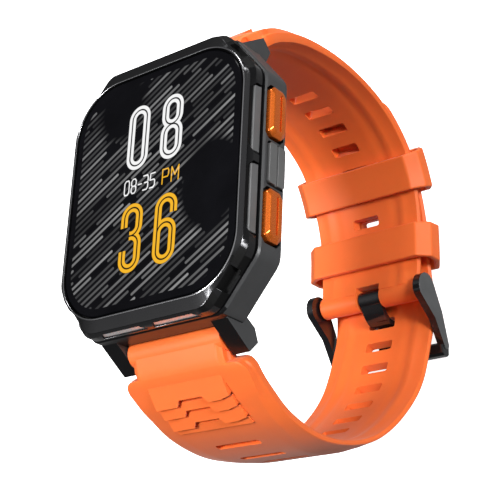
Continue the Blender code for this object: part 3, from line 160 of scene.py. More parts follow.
def surface(name, colour, roughness, metallic=0.0, patch=120.0, vary=0.12, grain=4000.0,
            bump=0.1, depth=0.00002, rough_vary=0.08, coat=0.0, coat_rough=0.1, specular=0.5,
            brushed=None):
    """A finish with soft colour patches, fine grain in its roughness and a light bump."""
    material, tree, shader = new_material(name)
    low, high = shade(colour, 1 - vary), shade(colour, 1 + vary)
    blotch = noise(tree, patch, 5.0)
    link(tree, ramp(tree, blotch, [(0.3, low), (0.7, high)]), shader.inputs["Base Color"])
    shader.inputs["Metallic"].default_value = metallic
    shader.inputs["Specular IOR Level"].default_value = specular
    shader.inputs["Coat Weight"].default_value = coat
    shader.inputs["Coat Roughness"].default_value = coat_rough
    place = tree.nodes.new("ShaderNodeTexCoord")
    stretch = tree.nodes.new("ShaderNodeMapping")
    stretch.inputs["Scale"].default_value = brushed or (1.0, 1.0, 1.0)
    fine = tree.nodes.new("ShaderNodeTexNoise")
    fine.inputs["Scale"].default_value = grain
    fine.inputs["Detail"].default_value = 3.0
    link(tree, place.outputs["Object"], stretch.inputs["Vector"])
    link(tree, stretch.outputs["Vector"], fine.inputs["Vector"])
    spread = tree.nodes.new("ShaderNodeMapRange")
    spread.inputs["To Min"].default_value = max(roughness - rough_vary, 0.02)
    spread.inputs["To Max"].default_value = min(roughness + rough_vary, 1.0)
    link(tree, fine.outputs["Fac"], spread.inputs["Value"])
    link(tree, spread.outputs["Result"], shader.inputs["Roughness"])
    lift = tree.nodes.new("ShaderNodeBump")
    lift.inputs["Strength"].default_value = bump
    lift.inputs["Distance"].default_value = depth
    link(tree, fine.outputs["Fac"], lift.inputs["Height"])
    link(tree, lift.outputs["Normal"], shader.inputs["Normal"])
    material.diffuse_color = (*colour, 1.0)
    return material


def silicone():
    """Moulded silicone: fine satin grain, faint flow patches and a soft edge glow."""
    material = surface(
        "orange_silicone", (0.92, 0.165, 0.030), 0.50, patch=60.0, vary=0.05, grain=6000.0,
        bump=0.12, depth=0.00002, rough_vary=0.06, specular=0.35,
    )
    shader = material.node_tree.nodes["Principled BSDF"]
    shader.inputs["Subsurface Weight"].default_value = 0.12
    shader.inputs["Subsurface Radius"].default_value = (1.0, 0.35, 0.1)
    shader.inputs["Subsurface Scale"].default_value = 0.0012
    shader.inputs["Sheen Weight"].default_value = 0.15
    shader.inputs["Sheen Roughness"].default_value = 0.4
    return material


FAR = 50.0


class Graph:
    """Short names for the arithmetic nodes that draw the dial."""

    def __init__(self, tree):
        self.tree = tree

    def math(self, operation, a, b=None, c=None, clamp=False):
        node = self.tree.nodes.new("ShaderNodeMath")
        node.operation = operation
        node.use_clamp = clamp
        for socket, value in zip(node.inputs, (a, b, c)):
            if value is None:
                continue
            if isinstance(value, (int, float)):
                socket.default_value = value
            else:
                self.tree.links.new(value, socket)
        return node.outputs[0]

    def add(self, a, b):
        return self.math("ADD", a, b)

    def sub(self, a, b):
        return self.math("SUBTRACT", a, b)

    def mul(self, a, b):
        return self.math("MULTIPLY", a, b)

    def smallest(self, *values):
        result = values[0]
        for value in values[1:]:
            result = self.math("MINIMUM", result, value)
        return result

    def length(self, a, b):
        return self.math("SQRT", self.add(self.mul(a, a), self.mul(b, b)))

    def below(self, value, limit, soft):
        """1 where value is under limit, falling to 0 over a soft edge."""
        return self.math("DIVIDE", self.sub(limit + soft / 2, value), soft, clamp=True)

    def above(self, value, limit, soft):
        return self.math("DIVIDE", self.sub(value, limit - soft / 2), soft, clamp=True)

    def ring(self, x, y, centre, straight, radius):
        """Distance to an upright racetrack line: half straight length and end radius."""
        dx = self.sub(x, centre[0])
        dy = self.sub(y, centre[1])
        past = self.math("MAXIMUM", self.sub(self.math("ABSOLUTE", dy), straight), 0.0)
        return self.math("ABSOLUTE", self.sub(self.length(dx, past), radius))

    def stroke(self, x, y, start, end):
        """Distance to a straight line between two points."""
        ax, ay = start
        bx, by = end[0] - ax, end[1] - ay
        px = self.sub(x, ax)
        py = self.sub(y, ay)
        along = self.add(self.mul(px, bx), self.mul(py, by))
        share = self.math("DIVIDE", along, bx * bx + by * by, clamp=True)
        return self.length(self.sub(px, self.mul(share, bx)), self.sub(py, self.mul(share, by)))

    def far_unless(self, distance, keep):
        """The distance where keep is 1, and far away where it is 0."""
        return self.add(distance, self.mul(self.sub(1.0, keep), FAR))


DIGIT_WIDTH = 5.3
STROKE = 1.65
STROKE_GAP = 0.30
DIGIT_RADIUS = (DIGIT_WIDTH - STROKE) / 2
DIGIT_OFFSET = 4.15
HOURS_LOW, HOURS_HIGH = 3.8, 17.0
MINUTES_LOW, MINUTES_HIGH = -16.6, -3.1
WAIST_SHARE = 0.53
CUT_SOFT = 0.05
EDGE_SOFT = 0.08


def big_zero(g, x, y, cx, low, high):
    straight = (high - low - STROKE) / 2 - DIGIT_RADIUS
    return g.ring(x, y, (cx, (low + high) / 2), straight, DIGIT_RADIUS)


def two_bowls(low, high):
    """Middles and half straight lengths of an upper and a lower bowl that meet at the waist."""
    waist = low + (high - low) * WAIST_SHARE
    top = high - STROKE / 2
    foot = low + STROKE / 2
    upper = ((top + waist) / 2, (top - waist) / 2 - DIGIT_RADIUS)
    lower = ((foot + waist) / 2, (waist - foot) / 2 - DIGIT_RADIUS)
    return upper, lower, waist


def big_eight(g, x, y, cx, low, high):
    upper, lower, _ = two_bowls(low, high)
    return g.smallest(
        g.ring(x, y, (cx, upper[0]), upper[1], DIGIT_RADIUS - 0.1),
        g.ring(x, y, (cx, lower[0]), lower[1], DIGIT_RADIUS),
    )


def big_three(g, x, y, cx, low, high):
    """The right-hand side of an eight, with both hooks going on round to the left."""
    upper, lower, waist = two_bowls(low, high)
    upper_ring = g.ring(x, y, (cx, upper[0]), upper[1], DIGIT_RADIUS)
    lower_ring = g.ring(x, y, (cx, lower[0]), lower[1], DIGIT_RADIUS)
    right = g.above(x, cx - 0.4, CUT_SOFT)
    not_top_left = g.math("MAXIMUM", right, g.above(y, upper[0] - 0.9, CUT_SOFT))
    not_foot_left = g.math("MAXIMUM", right, g.below(y, lower[0] + 0.5, CUT_SOFT))
    return g.smallest(g.far_unless(upper_ring, not_top_left), g.far_unless(lower_ring, not_foot_left))


def big_six(g, x, y, cx, low, high):
    """A closed lower bowl under a tall left side that hooks over at the top."""
    _, lower, _ = two_bowls(low, high)
    lower = (lower[0] + 0.35, lower[1] + 0.35)
    bowl = g.ring(x, y, (cx, lower[0]), lower[1], DIGIT_RADIUS)
    tall = big_zero(g, x, y, cx, low, high)
    left = g.below(x, cx, CUT_SOFT)
    hook = g.above(y, high - 4.0, CUT_SOFT)
    shown = g.math("MAXIMUM", left, hook)
    return g.smallest(bowl, g.far_unless(tall, shown))


GLYPH_WIDTH = 1.05
GLYPH_HEIGHT = 1.42
TEXT_FOOT = -0.95
DATE_LEFT = -6.7
HALF_DAY_LEFT = 2.7
TEXT_HALF_STROKE = 0.13


def small_text(g, x, y):
    """Distances to the small date and the two letters beside it, as thin straight strokes."""
    glyphs = {
        "0": [[(0, 0.3), (0, 1.7), (0.3, 2), (0.9, 2), (1.1, 1.7), (1.1, 0.3), (0.8, 0), (0.2, 0), (0, 0.3)]],
        "8": [[(0, 0.3), (0, 0.75), (0.25, 1), (0, 1.25), (0, 1.7), (0.3, 2), (0.8, 2), (1.1, 1.7),
               (1.1, 1.25), (0.85, 1), (1.1, 0.75), (1.1, 0.3), (0.8, 0), (0.3, 0), (0, 0.3)],
              [(0.25, 1), (0.85, 1)]],
        "-": [[(0.1, 1), (0.8, 1)]],
        "3": [[(0, 2), (0.9, 2), (1.1, 1.7), (1.1, 1.2)], [(0.3, 1), (1, 1)],
              [(1.1, 0.9), (1.1, 0.3), (0.8, 0), (0, 0)]],
        "5": [[(1.1, 2), (0.1, 2), (0, 1.1), (0.9, 1.1), (1.1, 0.9), (1.1, 0.3), (0.8, 0), (0, 0)]],
        "P": [[(0, 0), (0, 2), (1.2, 2), (1.4, 1.7), (1.4, 1.2), (1.2, 0.9), (0, 0.9)]],
        "M": [[(0, 0), (0, 2), (0.8, 0.8), (1.6, 2), (1.6, 0)]],
    }
    steps = {"0": 1.72, "8": 1.66, "-": 1.32, "3": 1.66, "5": 1.6, "P": 2.2, "M": 2.0}

    def word(text, left):
        distances = []
        for letter in text:
            for line in glyphs[letter]:
                points = [(left + a * GLYPH_WIDTH, TEXT_FOOT + b * GLYPH_HEIGHT) for a, b in line]
                distances += [g.stroke(x, y, *ends) for ends in zip(points, points[1:])]
            left += steps[letter]
        return g.smallest(*distances)

    return word("08-35", DATE_LEFT), word("PM", HALF_DAY_LEFT)


STRIPE_TURN = math.radians(30)
STRIPE_PITCH = 1.12
STRIPE_HALF = 0.26
STRIPE_SOFT = 0.10
STRIPE_START = 14.0
STRIPE_SPAN = (14.0, 11.0)
STRIPE_SHARE = (0.74, 0.22)
STRIPE_FOOT = 0.6
STRIPE_LIGHT = (0.045, 0.26)
STRIPE_CONTRAST = 2.4
STRIPE_FADE = (0.55, 0.6)
BEFORE_DIAL = 60.0


def stripes(g, x, y):
    """Slanting bars, each with its own ends and brightness, brighter towards one end and left out in two
    patches of the dial.
    """
    tree = g.tree
    c, s = math.cos(STRIPE_TURN), math.sin(STRIPE_TURN)
    along = g.add(g.mul(x, c), g.mul(y, s))
    across = g.sub(g.mul(y, c), g.mul(x, s))
    row = g.math("DIVIDE", across, STRIPE_PITCH)
    index = g.math("ROUND", row)
    off = g.mul(g.math("ABSOLUTE", g.sub(row, index)), STRIPE_PITCH)

    def lot(seed, step=None):
        node = tree.nodes.new("ShaderNodeTexWhiteNoise")
        node.noise_dimensions = "2D"
        joined = tree.nodes.new("ShaderNodeCombineXYZ")
        link(tree, index, joined.inputs["X"])
        if step is None:
            joined.inputs["Y"].default_value = seed
        else:
            link(tree, g.add(step, seed), joined.inputs["Y"])
        link(tree, joined.outputs["Vector"], node.inputs["Vector"])
        return node.outputs["Value"]

    def between(value, limits):
        base, reach = limits
        return g.add(g.mul(value, reach), base)

    start = g.mul(lot(3.0), STRIPE_START)
    span = between(lot(7.0), STRIPE_SPAN)
    piece = g.math("DIVIDE", g.add(along, g.add(start, BEFORE_DIAL)), span)
    cell = g.math("FLOOR", piece)
    inside = g.mul(g.sub(piece, cell), span)
    bar = g.mul(span, between(lot(11.0, cell), STRIPE_SHARE))
    past = g.math("MAXIMUM", g.sub(inside, bar), g.sub(STRIPE_FOOT, inside))
    ends = g.math("MAXIMUM", past, 0.0)
    round_end = g.length(ends, off)
    shown = g.below(round_end, STRIPE_HALF, STRIPE_SOFT)
    bright = between(g.math("POWER", lot(17.0, cell), STRIPE_CONTRAST), STRIPE_LIGHT)
    fade = between(g.math("DIVIDE", inside, span, clamp=True), STRIPE_FADE)
    empty_top = g.below(g.length(g.add(x, 9.0), g.mul(g.sub(y, 18.0), 0.8)), 6.0, 2.5)
    empty_side = g.below(g.length(g.mul(g.sub(x, 14.5), 0.9), g.mul(g.add(y, 3.5), 0.75)), 6.6, 1.5)
    open_area = g.mul(g.sub(1.0, empty_top), g.sub(1.0, empty_side))
    return g.mul(g.mul(shown, open_area), g.mul(bright, fade))


SCREEN_HALF_X = 18.9
SCREEN_HALF_Y = 22.1
SCREEN_CORNER = 8.5
CLEAR_MARGIN = 0.55 * STROKE
WHITE = (0.93, 0.93, 0.93)
AMBER = (0.93, 0.48, 0.02)


def dial_material():
    """Black-backed polished glass with the lit dial: stripes, two pairs of outlined digits and a date."""
    material, tree, shader = new_material("dial_glass")
    g = Graph(tree)
    place = tree.nodes.new("ShaderNodeTexCoord")
    parts = tree.nodes.new("ShaderNodeSeparateXYZ")
    link(tree, place.outputs["Object"], parts.inputs["Vector"])
    x = g.mul(parts.outputs["X"], 1 / MM)
    y = g.mul(parts.outputs["Y"], 1 / MM)

    def outlined(distance):
        outer = g.below(distance, STROKE / 2, EDGE_SOFT)
        return g.mul(outer, g.above(distance, STROKE_GAP / 2, EDGE_SOFT))

    left, right = -DIGIT_OFFSET, DIGIT_OFFSET
    hours = g.smallest(big_zero(g, x, y, left, HOURS_LOW, HOURS_HIGH),
                       big_eight(g, x, y, right, HOURS_LOW, HOURS_HIGH))
    minutes = g.smallest(big_three(g, x, y, left, MINUTES_LOW, MINUTES_HIGH),
                         big_six(g, x, y, right, MINUTES_LOW, MINUTES_HIGH))
    date, half_day = small_text(g, x, y)
    white = g.math("MAXIMUM", outlined(hours), g.below(date, TEXT_HALF_STROKE, EDGE_SOFT))
    amber = g.math("MAXIMUM", outlined(minutes), g.below(half_day, TEXT_HALF_STROKE, EDGE_SOFT))
    clear = g.above(g.smallest(hours, minutes), CLEAR_MARGIN, 0.1)
    beyond = [
        g.math("MAXIMUM", g.sub(g.math("ABSOLUTE", place), half - SCREEN_CORNER), 0.0)
        for place, half in ((x, SCREEN_HALF_X), (y, SCREEN_HALF_Y))
    ]
    on_screen = g.below(g.length(*beyond), SCREEN_CORNER, EDGE_SOFT)
    grey = g.mul(g.mul(stripes(g, x, y), on_screen), clear)

    colour = tree.nodes.new("ShaderNodeCombineColor")
    for channel, of_white, of_amber in zip(("Red", "Green", "Blue"), WHITE, AMBER):
        lit = g.add(g.mul(white, of_white), g.mul(amber, of_amber))
        link(tree, g.add(lit, grey), colour.inputs[channel])
    link(tree, colour.outputs["Color"], shader.inputs["Emission Color"])
    shader.inputs["Emission Strength"].default_value = 1.0
    smudge = noise(tree, 90.0, 6.0)
    link(tree, ramp(tree, smudge, [(0.3, (0.0015, 0.0015, 0.002)), (0.7, (0.003, 0.003, 0.004))]),
         shader.inputs["Base Color"])
    spread = tree.nodes.new("ShaderNodeMapRange")
    spread.inputs["To Min"].default_value = 0.10
    spread.inputs["To Max"].default_value = 0.16
    link(tree, smudge, spread.inputs["Value"])
    link(tree, spread.outputs["Result"], shader.inputs["Roughness"])
    shader.inputs["Specular IOR Level"].default_value = 0.05
    return material


STEEL_BRUSH = (1.0, 12.0, 1.0)

# Colour, roughness, metal and the settings that differ from surface()
FINISHES = {
    "orange_button": ((0.93, 0.19, 0.02), 0.26, 0.75, dict(patch=200.0, vary=0.05, grain=9000.0, bump=0.15,
        rough_vary=0.05, coat=0.3, coat_rough=0.12)),
    "gunmetal": ((0.034, 0.034, 0.036), 0.22, 0.85, dict(patch=120.0, vary=0.08, grain=6000.0, bump=0.03,
        rough_vary=0.03, coat=0.3, coat_rough=0.12)),
    # Near black for recess floors and corner slots: painted shade, darker than the gunmetal around them
    "painted_shade_pocket": ((0.004, 0.004, 0.004), 0.55, 0.0, dict(patch=150.0, vary=0.2, grain=7000.0, bump=0.1,
        specular=0.15)),
    "black_shell": ((0.006, 0.006, 0.0065), 0.30, 0.1, dict(patch=120.0, vary=0.15, grain=6000.0, bump=0.04,
        rough_vary=0.03, coat=0.15, coat_rough=0.14, specular=0.3)),
    "bright_edge": ((0.30, 0.30, 0.31), 0.20, 1.0, dict(patch=200.0, vary=0.05, grain=6000.0, bump=0.02,
        rough_vary=0.04)),
    # Near-white end plates: a painted highlight standing in for the light these plates reflect
    "painted_highlight_panel": ((0.86, 0.86, 0.87), 0.28, 0.1, dict(patch=150.0, vary=0.04, grain=5000.0, bump=0.05,
        rough_vary=0.05, coat=0.5, coat_rough=0.1)),
    "grey_panel": ((0.15, 0.151, 0.153), 0.42, 0.4, dict(patch=200.0, vary=0.08, grain=6000.0, bump=0.06,
        rough_vary=0.06)),
    "grey_shell": ((0.062, 0.063, 0.065), 0.42, 0.3, dict(patch=150.0, vary=0.10, grain=8000.0, bump=0.25,
        rough_vary=0.08)),
    "grey_trim": ((0.24, 0.24, 0.24), 0.36, 0.7, dict(patch=200.0, vary=0.06, grain=8000.0, bump=0.12,
        rough_vary=0.06)),
    "black_plastic": ((0.012, 0.012, 0.013), 0.48, 0.0, dict(patch=150.0, vary=0.2, grain=7000.0, bump=0.3,
        depth=0.00003, rough_vary=0.08, specular=0.4)),
    "black_steel": ((0.016, 0.016, 0.018), 0.16, 0.5, dict(patch=180.0, vary=0.2, grain=7000.0, bump=0.04,
        rough_vary=0.05, coat=0.6, coat_rough=0.08)),
    "arm_face": ((0.21, 0.215, 0.22), 0.34, 0.8, dict(patch=200.0, vary=0.1, grain=7000.0, bump=0.08,
        rough_vary=0.07)),
    "steel": ((0.42, 0.42, 0.42), 0.28, 1.0, dict(patch=300.0, vary=0.1, grain=5000.0, bump=0.1,
        rough_vary=0.08, brushed=STEEL_BRUSH)),
    "sensor_glass": ((0.004, 0.004, 0.006), 0.07, 0.0, dict(patch=200.0, vary=0.3, grain=3000.0, bump=0.0,
        rough_vary=0.03, coat=1.0, coat_rough=0.03)),
    "seal_rubber": ((0.02, 0.02, 0.02), 0.7, 0.0, dict(patch=200.0, vary=0.2, grain=5000.0, bump=0.3)),
    "circuit_board": ((0.02, 0.13, 0.06), 0.4, 0.0, dict(patch=900.0, vary=0.4, grain=2500.0, bump=0.3,
        coat=0.4)),
    "shield_tin": ((0.58, 0.58, 0.56), 0.35, 1.0, dict(patch=400.0, vary=0.1, grain=3000.0, bump=0.15,
        brushed=STEEL_BRUSH)),
    "cell_wrap": ((0.42, 0.44, 0.47), 0.38, 0.6, dict(patch=250.0, vary=0.12, grain=1200.0, bump=0.4,
        depth=0.00005)),
    "copper": ((0.78, 0.38, 0.18), 0.35, 1.0, dict(patch=500.0, vary=0.15, grain=3000.0, bump=0.1)),
    "gold": ((0.83, 0.58, 0.20), 0.25, 1.0, dict(patch=400.0, vary=0.1, grain=5000.0, bump=0.05)),
    "display": ((0.01, 0.011, 0.016), 0.12, 0.0, dict(patch=400.0, vary=0.3, grain=3000.0, bump=0.02)),
}


def all_materials():
    made = {"orange_silicone": silicone()}
    for name, (colour, roughness, metallic, settings) in FINISHES.items():
        made[name] = surface(name, colour, roughness, metallic, **settings)
    made["cover_glass"] = dial_material()
    return made


MATERIALS = all_materials()


# ---------------------------------------------------------------- outlines

def soft_octagon(half_x, half_y, cut_x, cut_y, soft, steps=5):
    """An upright octagon whose corners are short smooth curves."""
    quarter = [(half_x, half_y - cut_y), (half_x - cut_x, half_y)]
    corners = list(quarter)
    corners += [(-x, y) for x, y in reversed(quarter)]
    corners += [(-x, -y) for x, y in quarter]
    corners += [(x, -y) for x, y in reversed(quarter)]
    points = []
    for i, corner in enumerate(corners):
        here = np.array(corner)
        before = np.array(corners[i - 1])
        after = np.array(corners[(i + 1) % len(corners)])
        start = here + (before - here) / np.linalg.norm(before - here) * soft
        end = here + (after - here) / np.linalg.norm(after - here) * soft
        for t in np.linspace(0, 1, steps):
            points.append(start * (1 - t) ** 2 + 2 * here * t * (1 - t) + end * t * t)
    return np.array(points)


def rounded_rectangle(half_x, half_y, radius, steps=14):
    points = []
    for quarter, (sign_x, sign_y) in enumerate([(1, 1), (-1, 1), (-1, -1), (1, -1)]):
        for step in range(steps + 1):
            angle = (quarter + step / steps) * math.pi / 2
            points.append((
                sign_x * (half_x - radius) + radius * math.cos(angle),
                sign_y * (half_y - radius) + radius * math.sin(angle),
            ))
    return np.array(points)


def outline_angles(*outlines):
    angles = sorted(math.atan2(y, x) for outline in outlines for x, y in outline)
    kept = [angles[0]]
    for angle in angles[1:]:
        if angle - kept[-1] > 0.006:
            kept.append(angle)
    return kept


def outline_at(outline, angles):
    """Where rays from the middle at these angles cross a convex outline."""
    following = np.roll(outline, -1, axis=0)
    points = []
    for angle in angles:
        ray = np.array([math.cos(angle), math.sin(angle)])
        for start, end in zip(outline, following):
            edge = end - start
            cross = ray[0] * edge[1] - ray[1] * edge[0]
            if abs(cross) < 1e-12:
                continue
            along_ray = (start[0] * edge[1] - start[1] * edge[0]) / cross
            along_edge = (start[0] * ray[1] - start[1] * ray[0]) / cross
            if along_ray > 0 and -1e-9 <= along_edge <= 1 + 1e-9:
                points.append(ray * along_ray)
                break
    return np.array(points)


def circle(radius, centre=(0.0, 0.0), steps=32):
    return [
        (centre[0] + radius * math.cos(2 * math.pi * i / steps),
         centre[1] + radius * math.sin(2 * math.pi * i / steps))
        for i in range(steps)
    ]


def rounded_box(centre, half_first, half_second, radius, steps=4):
    return [
        (centre[0] + a, centre[1] + b)
        for a, b in rounded_rectangle(half_first, half_second, radius, steps)
    ]


# ---------------------------------------------------------------- meshes

def add_loft(builder, loops, closed=False, material=0, materials=None):
    """Skin loops of equal length; materials gives one index per pair of loops."""
    rows = [[builder.verts.new(point) for point in loop] for loop in loops]
    pairs = list(zip(rows, rows[1:]))
    if closed:
        pairs.append((rows[-1], rows[0]))
    count = len(rows[0])
    for number, (low, high) in enumerate(pairs):
        for i in range(count):
            j = (i + 1) % count
            face = builder.faces.new((low[i], low[j], high[j], high[i]))
            face.material_index = materials[number] if materials else material
    if not closed:
        for row in (rows[0], rows[-1]):
            builder.faces.new(row).material_index = material


def loft(loops, closed=False):
    builder = bmesh.new()
    add_loft(builder, loops, closed)
    return builder


def add_prism(builder, outline, low, high, axis="z", material=0):
    def place(first, second, height):
        return {"z": (first, second, height), "x": (height, first, second),
                "y": (first, height, second)}[axis]

    add_loft(builder, [[place(*p, h) for p in outline] for h in (low, high)], material=material)


def new_object(name, builder, materials):
    """A bmesh in millimetres as an object in the row's frame."""
    bmesh.ops.recalc_face_normals(builder, faces=builder.faces)
    bmesh.ops.scale(builder, verts=builder.verts, vec=(MM, MM, MM))
    mesh = bpy.data.meshes.new(name)
    builder.to_mesh(mesh)
    builder.free()
    item = bpy.data.objects.new(name, mesh)
    item.location = ORIGIN
    bpy.context.scene.collection.objects.link(item)
    for key in materials:
        mesh.materials.append(MATERIALS[key])
    return item


def apply_modifiers(item):
    bpy.context.view_layer.update()
    graph = bpy.context.evaluated_depsgraph_get()
    mesh = bpy.data.meshes.new_from_object(item.evaluated_get(graph))
    item.modifiers.clear()
    item.data = mesh


def carve(item, *builders, operation="DIFFERENCE"):
    """Cut each bmesh out of the item, or join it on, and keep only the result."""
    for builder in builders:
        tool = new_object("tool", builder, [])
        modifier = item.modifiers.new("carve", "BOOLEAN")
        modifier.operation = operation
        modifier.solver = "EXACT"
        modifier.object = tool
        apply_modifiers(item)
        bpy.data.objects.remove(tool)


def tidy_mesh(item, flat_angle=0.5, merge=0.004):
    """Merge near points and join flat neighbours, so that a bevel runs evenly."""
    builder = bmesh.new()
    builder.from_mesh(item.data)
    bmesh.ops.remove_doubles(builder, verts=builder.verts, dist=merge * MM)
    bmesh.ops.dissolve_limit(
        builder, angle_limit=math.radians(flat_angle), verts=builder.verts, edges=builder.edges,
        delimit={"MATERIAL"},
    )
    builder.to_mesh(item.data)
    builder.free()


def soften(item, width, segments=2, angle=30.0, smooth=40.0):
    """Round the edges sharper than an angle and shade the rest smooth."""
    if width:
        bevel = item.modifiers.new("soft_edges", "BEVEL")
        bevel.width = width * MM
        bevel.segments = segments
        bevel.limit_method = "ANGLE"
        bevel.angle_limit = math.radians(angle)
        bevel.miter_outer = "MITER_ARC"
        bevel.use_clamp_overlap = True
    apply_modifiers(item)
    item.data.shade_smooth()
    item.data.set_sharp_from_angle(angle=math.radians(smooth))
    weighted = item.modifiers.new("even_normals", "WEIGHTED_NORMAL")
    weighted.keep_sharp = True
    apply_modifiers(item)


def place_piece(item, body, slot, *nodes):
    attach(item, body)
    if nodes:
        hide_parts(*nodes)
    return item


def from_cad(node, name, materials):
    """A copy of a CAD node's mesh, drawn about the glass's middle, that can be softened."""
    source = frame["nodes"][node]
    mesh = source.data.copy()
    mesh.transform(Matrix.Translation(-ORIGIN))
    mesh.materials.clear()
    for key in materials:
        mesh.materials.append(MATERIALS[key])
    item = bpy.data.objects.new(name, mesh)
    item.location = ORIGIN
    bpy.context.scene.collection.objects.link(item)
    tidy_mesh(item)
    return item


# ---------------------------------------------------------------- strap paths

def curve_through(points, spacing=0.25):
    points = np.array(points)
    first = 2 * points[0] - points[1]
    last = 2 * points[-1] - points[-2]
    padded = np.vstack([first, points, last])
    dense = []
    for a, b, c, d in zip(padded, padded[1:], padded[2:], padded[3:]):
        for step in np.linspace(0, 1, 24, endpoint=False):
            square = step * step
            cube = square * step
            dense.append(
                0.5 * (2 * b + (c - a) * step + (2 * a - 5 * b + 4 * c - d) * square
                       + (3 * b - a - 3 * c + d) * cube)
            )
    dense.append(points[-1])
    dense = np.array(dense)
    travelled = np.r_[0, np.cumsum(np.linalg.norm(np.diff(dense, axis=0), axis=1))]
    even = np.linspace(0, travelled[-1], int(travelled[-1] / spacing) + 1)
    return np.column_stack([np.interp(even, travelled, dense[:, i]) for i in (0, 1)])


class StrapPath:
    """The wrist side of a strap half, as (y, z) points with tangents and outward directions."""

    def __init__(self, points, side):
        self.points = curve_through(points)
        self.side = side
        steps = np.linalg.norm(np.diff(self.points, axis=0), axis=1)
        self.travelled = np.r_[0, np.cumsum(steps)]
        self.length = self.travelled[-1]
        tangents = np.gradient(self.points, axis=0)
        self.tangents = tangents / np.linalg.norm(tangents, axis=1)[:, None]

    def at(self, distance):
        point = [np.interp(distance, self.travelled, self.points[:, i]) for i in (0, 1)]
        tangent = [np.interp(distance, self.travelled, self.tangents[:, i]) for i in (0, 1)]
        tangent = np.array(tangent) / np.linalg.norm(tangent)
        outward = self.side * np.array([-tangent[1], tangent[0]])
        return np.array(point), tangent, outward

    def nearest(self, point):
        gaps = np.linalg.norm(self.points - np.array(point), axis=1)
        return self.travelled[int(np.argmin(gaps))]

    def spot(self, x, distance, height):
        """A point across, along and outward of the path."""
        point, _, outward = self.at(distance)
        y, z = point + outward * height
        return (x, y, z)


# Points down each half, as shares of its half width across and of the loop's depth down
UPPER_SHAPE = [
    (0.790, 0.058), (0.875, 0.122), (0.955, 0.240), (0.995, 0.380), (1.000, 0.512),
    (0.973, 0.624), (0.920, 0.725), (0.846, 0.806), (0.753, 0.868), (0.585, 0.926),
    (0.399, 0.958),
]
LOWER_SHAPE = [
    (0.750, 0.050), (0.812, 0.086), (0.874, 0.137), (0.957, 0.240), (1.000, 0.390),
    (0.976, 0.553), (0.889, 0.710), (0.728, 0.856), (0.510, 0.978),
]


UPPER_FINISH_LENGTH = 6.0
UPPER_FINISH_DROP = 0.35
LOWER_FINISH_LENGTH = 9.1


def loop_points(shape, side, half_width):
    points = [(side * (BAR_Y - 0.6), BAR_Z - ROLL_RADIUS)]
    points += [(side * half_width * across, BAR_Z - LOOP_DEPTH * down) for across, down in shape]
    return points


def make_paths():
    points = loop_points(UPPER_SHAPE, 1, BAR_Y + UPPER_BULGE)
    roll_top = PIN_Z + BUCKLE_ROLL_RADIUS
    points.append((PIN_Y + UPPER_FINISH_LENGTH, roll_top - UPPER_FINISH_DROP))
    points.append((PIN_Y, roll_top))
    upper = StrapPath(points, 1)
    points = loop_points(LOWER_SHAPE, -1, BAR_Y + LOWER_BULGE)
    below_pin = PIN_Z - BUCKLE_ROLL_RADIUS - LAYER_GAP
    points.append((PIN_Y - LOWER_FINISH_LENGTH, below_pin))
    points.append((PIN_Y - 4.5, below_pin - 0.9))
    points.append((PIN_Y + 1.0, below_pin - 0.6))
    for from_pin in np.linspace(8.0, 45.0, 6):
        point, _, outward = upper.at(upper.length - from_pin)
        extra = np.interp(from_pin, [8.0, 16.0, 24.0], [1.1, 0.5, 0.0])
        points.append(tuple(point + outward * (UPPER_THICK + LAYER_GAP + extra)))
    return upper, StrapPath(points, -1)


UPPER, LOWER = make_paths()
TONGUE_SLOT = LOWER.nearest((PIN_Y - 4.5, PIN_Z - BUCKLE_ROLL_RADIUS - LAYER_GAP))


def upper_half(distance):
    taper = np.interp(distance, [12.0, UPPER.length - 28.0, UPPER.length], [0.0, 0.4, 1.0])
    return SHOULDER_HALF + (UPPER_END_HALF - SHOULDER_HALF) * taper


def lower_half(distance):
    taper = np.interp(distance, [12.0, 75.0], [0.0, 1.0])
    half = SHOULDER_HALF + (LOWER_END_HALF - SHOULDER_HALF) * taper
    to_tip = LOWER.length - distance
    if to_tip < 7.0:
        half *= math.sqrt(max(1 - (1 - to_tip / 7.0) ** 2, 0.09))
    return half


def thickness(distance, end_thick):
    return np.interp(distance, [0.0, 1.2, 6.0, 34.0],
                     [ROOT_THICK, ROOT_THICK - 0.1, LUG_END_THICK, end_thick])


# ---------------------------------------------------------------- straps

def strap_profile(half, thick, plateau, crease):
    """Half of a strap's section, from its inner middle out round the edge to its outer middle."""
    edge = 1.3
    outer_groove = half - 3.0
    inner_groove = half - 5.6
    return [
        (inner_groove * 0.35, 0.0), (inner_groove * 0.7, 0.0), (inner_groove - 0.9, 0.02),
        (inner_groove, 0.30), (inner_groove + 0.9, 0.04), (outer_groove - 0.8, 0.0),
        (outer_groove - 0.1, 0.05), (outer_groove + 0.5, 0.30), (half - edge, 0.34),
        (half - edge * 0.3, 0.42), (half, 0.22 * thick + 0.4), (half - 0.04, 0.55 * thick),
        (half - 0.4, 0.63 * thick), (crease + (half - crease) * 0.12, 0.86 * thick),
        (crease - 0.5, 0.90 * thick), (plateau + (crease - plateau) * 0.35, 0.955 * thick),
        (plateau, thick), (plateau - 0.4, thick), (plateau * 0.6, thick), (plateau * 0.3, thick),
    ]


def strap_loop(path, distance, half, thick, plateau, crease):
    right = strap_profile(half, thick, plateau, crease)
    ring = [(0.0, 0.0)] + right + [(0.0, thick)] + [(-x, v) for x, v in reversed(right)]
    return [path.spot(x, distance, v) for x, v in ring]


ROOT_STATIONS = [0.0, 1.2, 2.6, SHOULDER - 0.12]
# How far past the shoulder's start, and how far short of its full half width
SHOULDER_EASE = [(0.0, 1.5), (0.3, 0.8), (0.8, 0.35)]
SHOULDER_EASE_LENGTH = 1.8
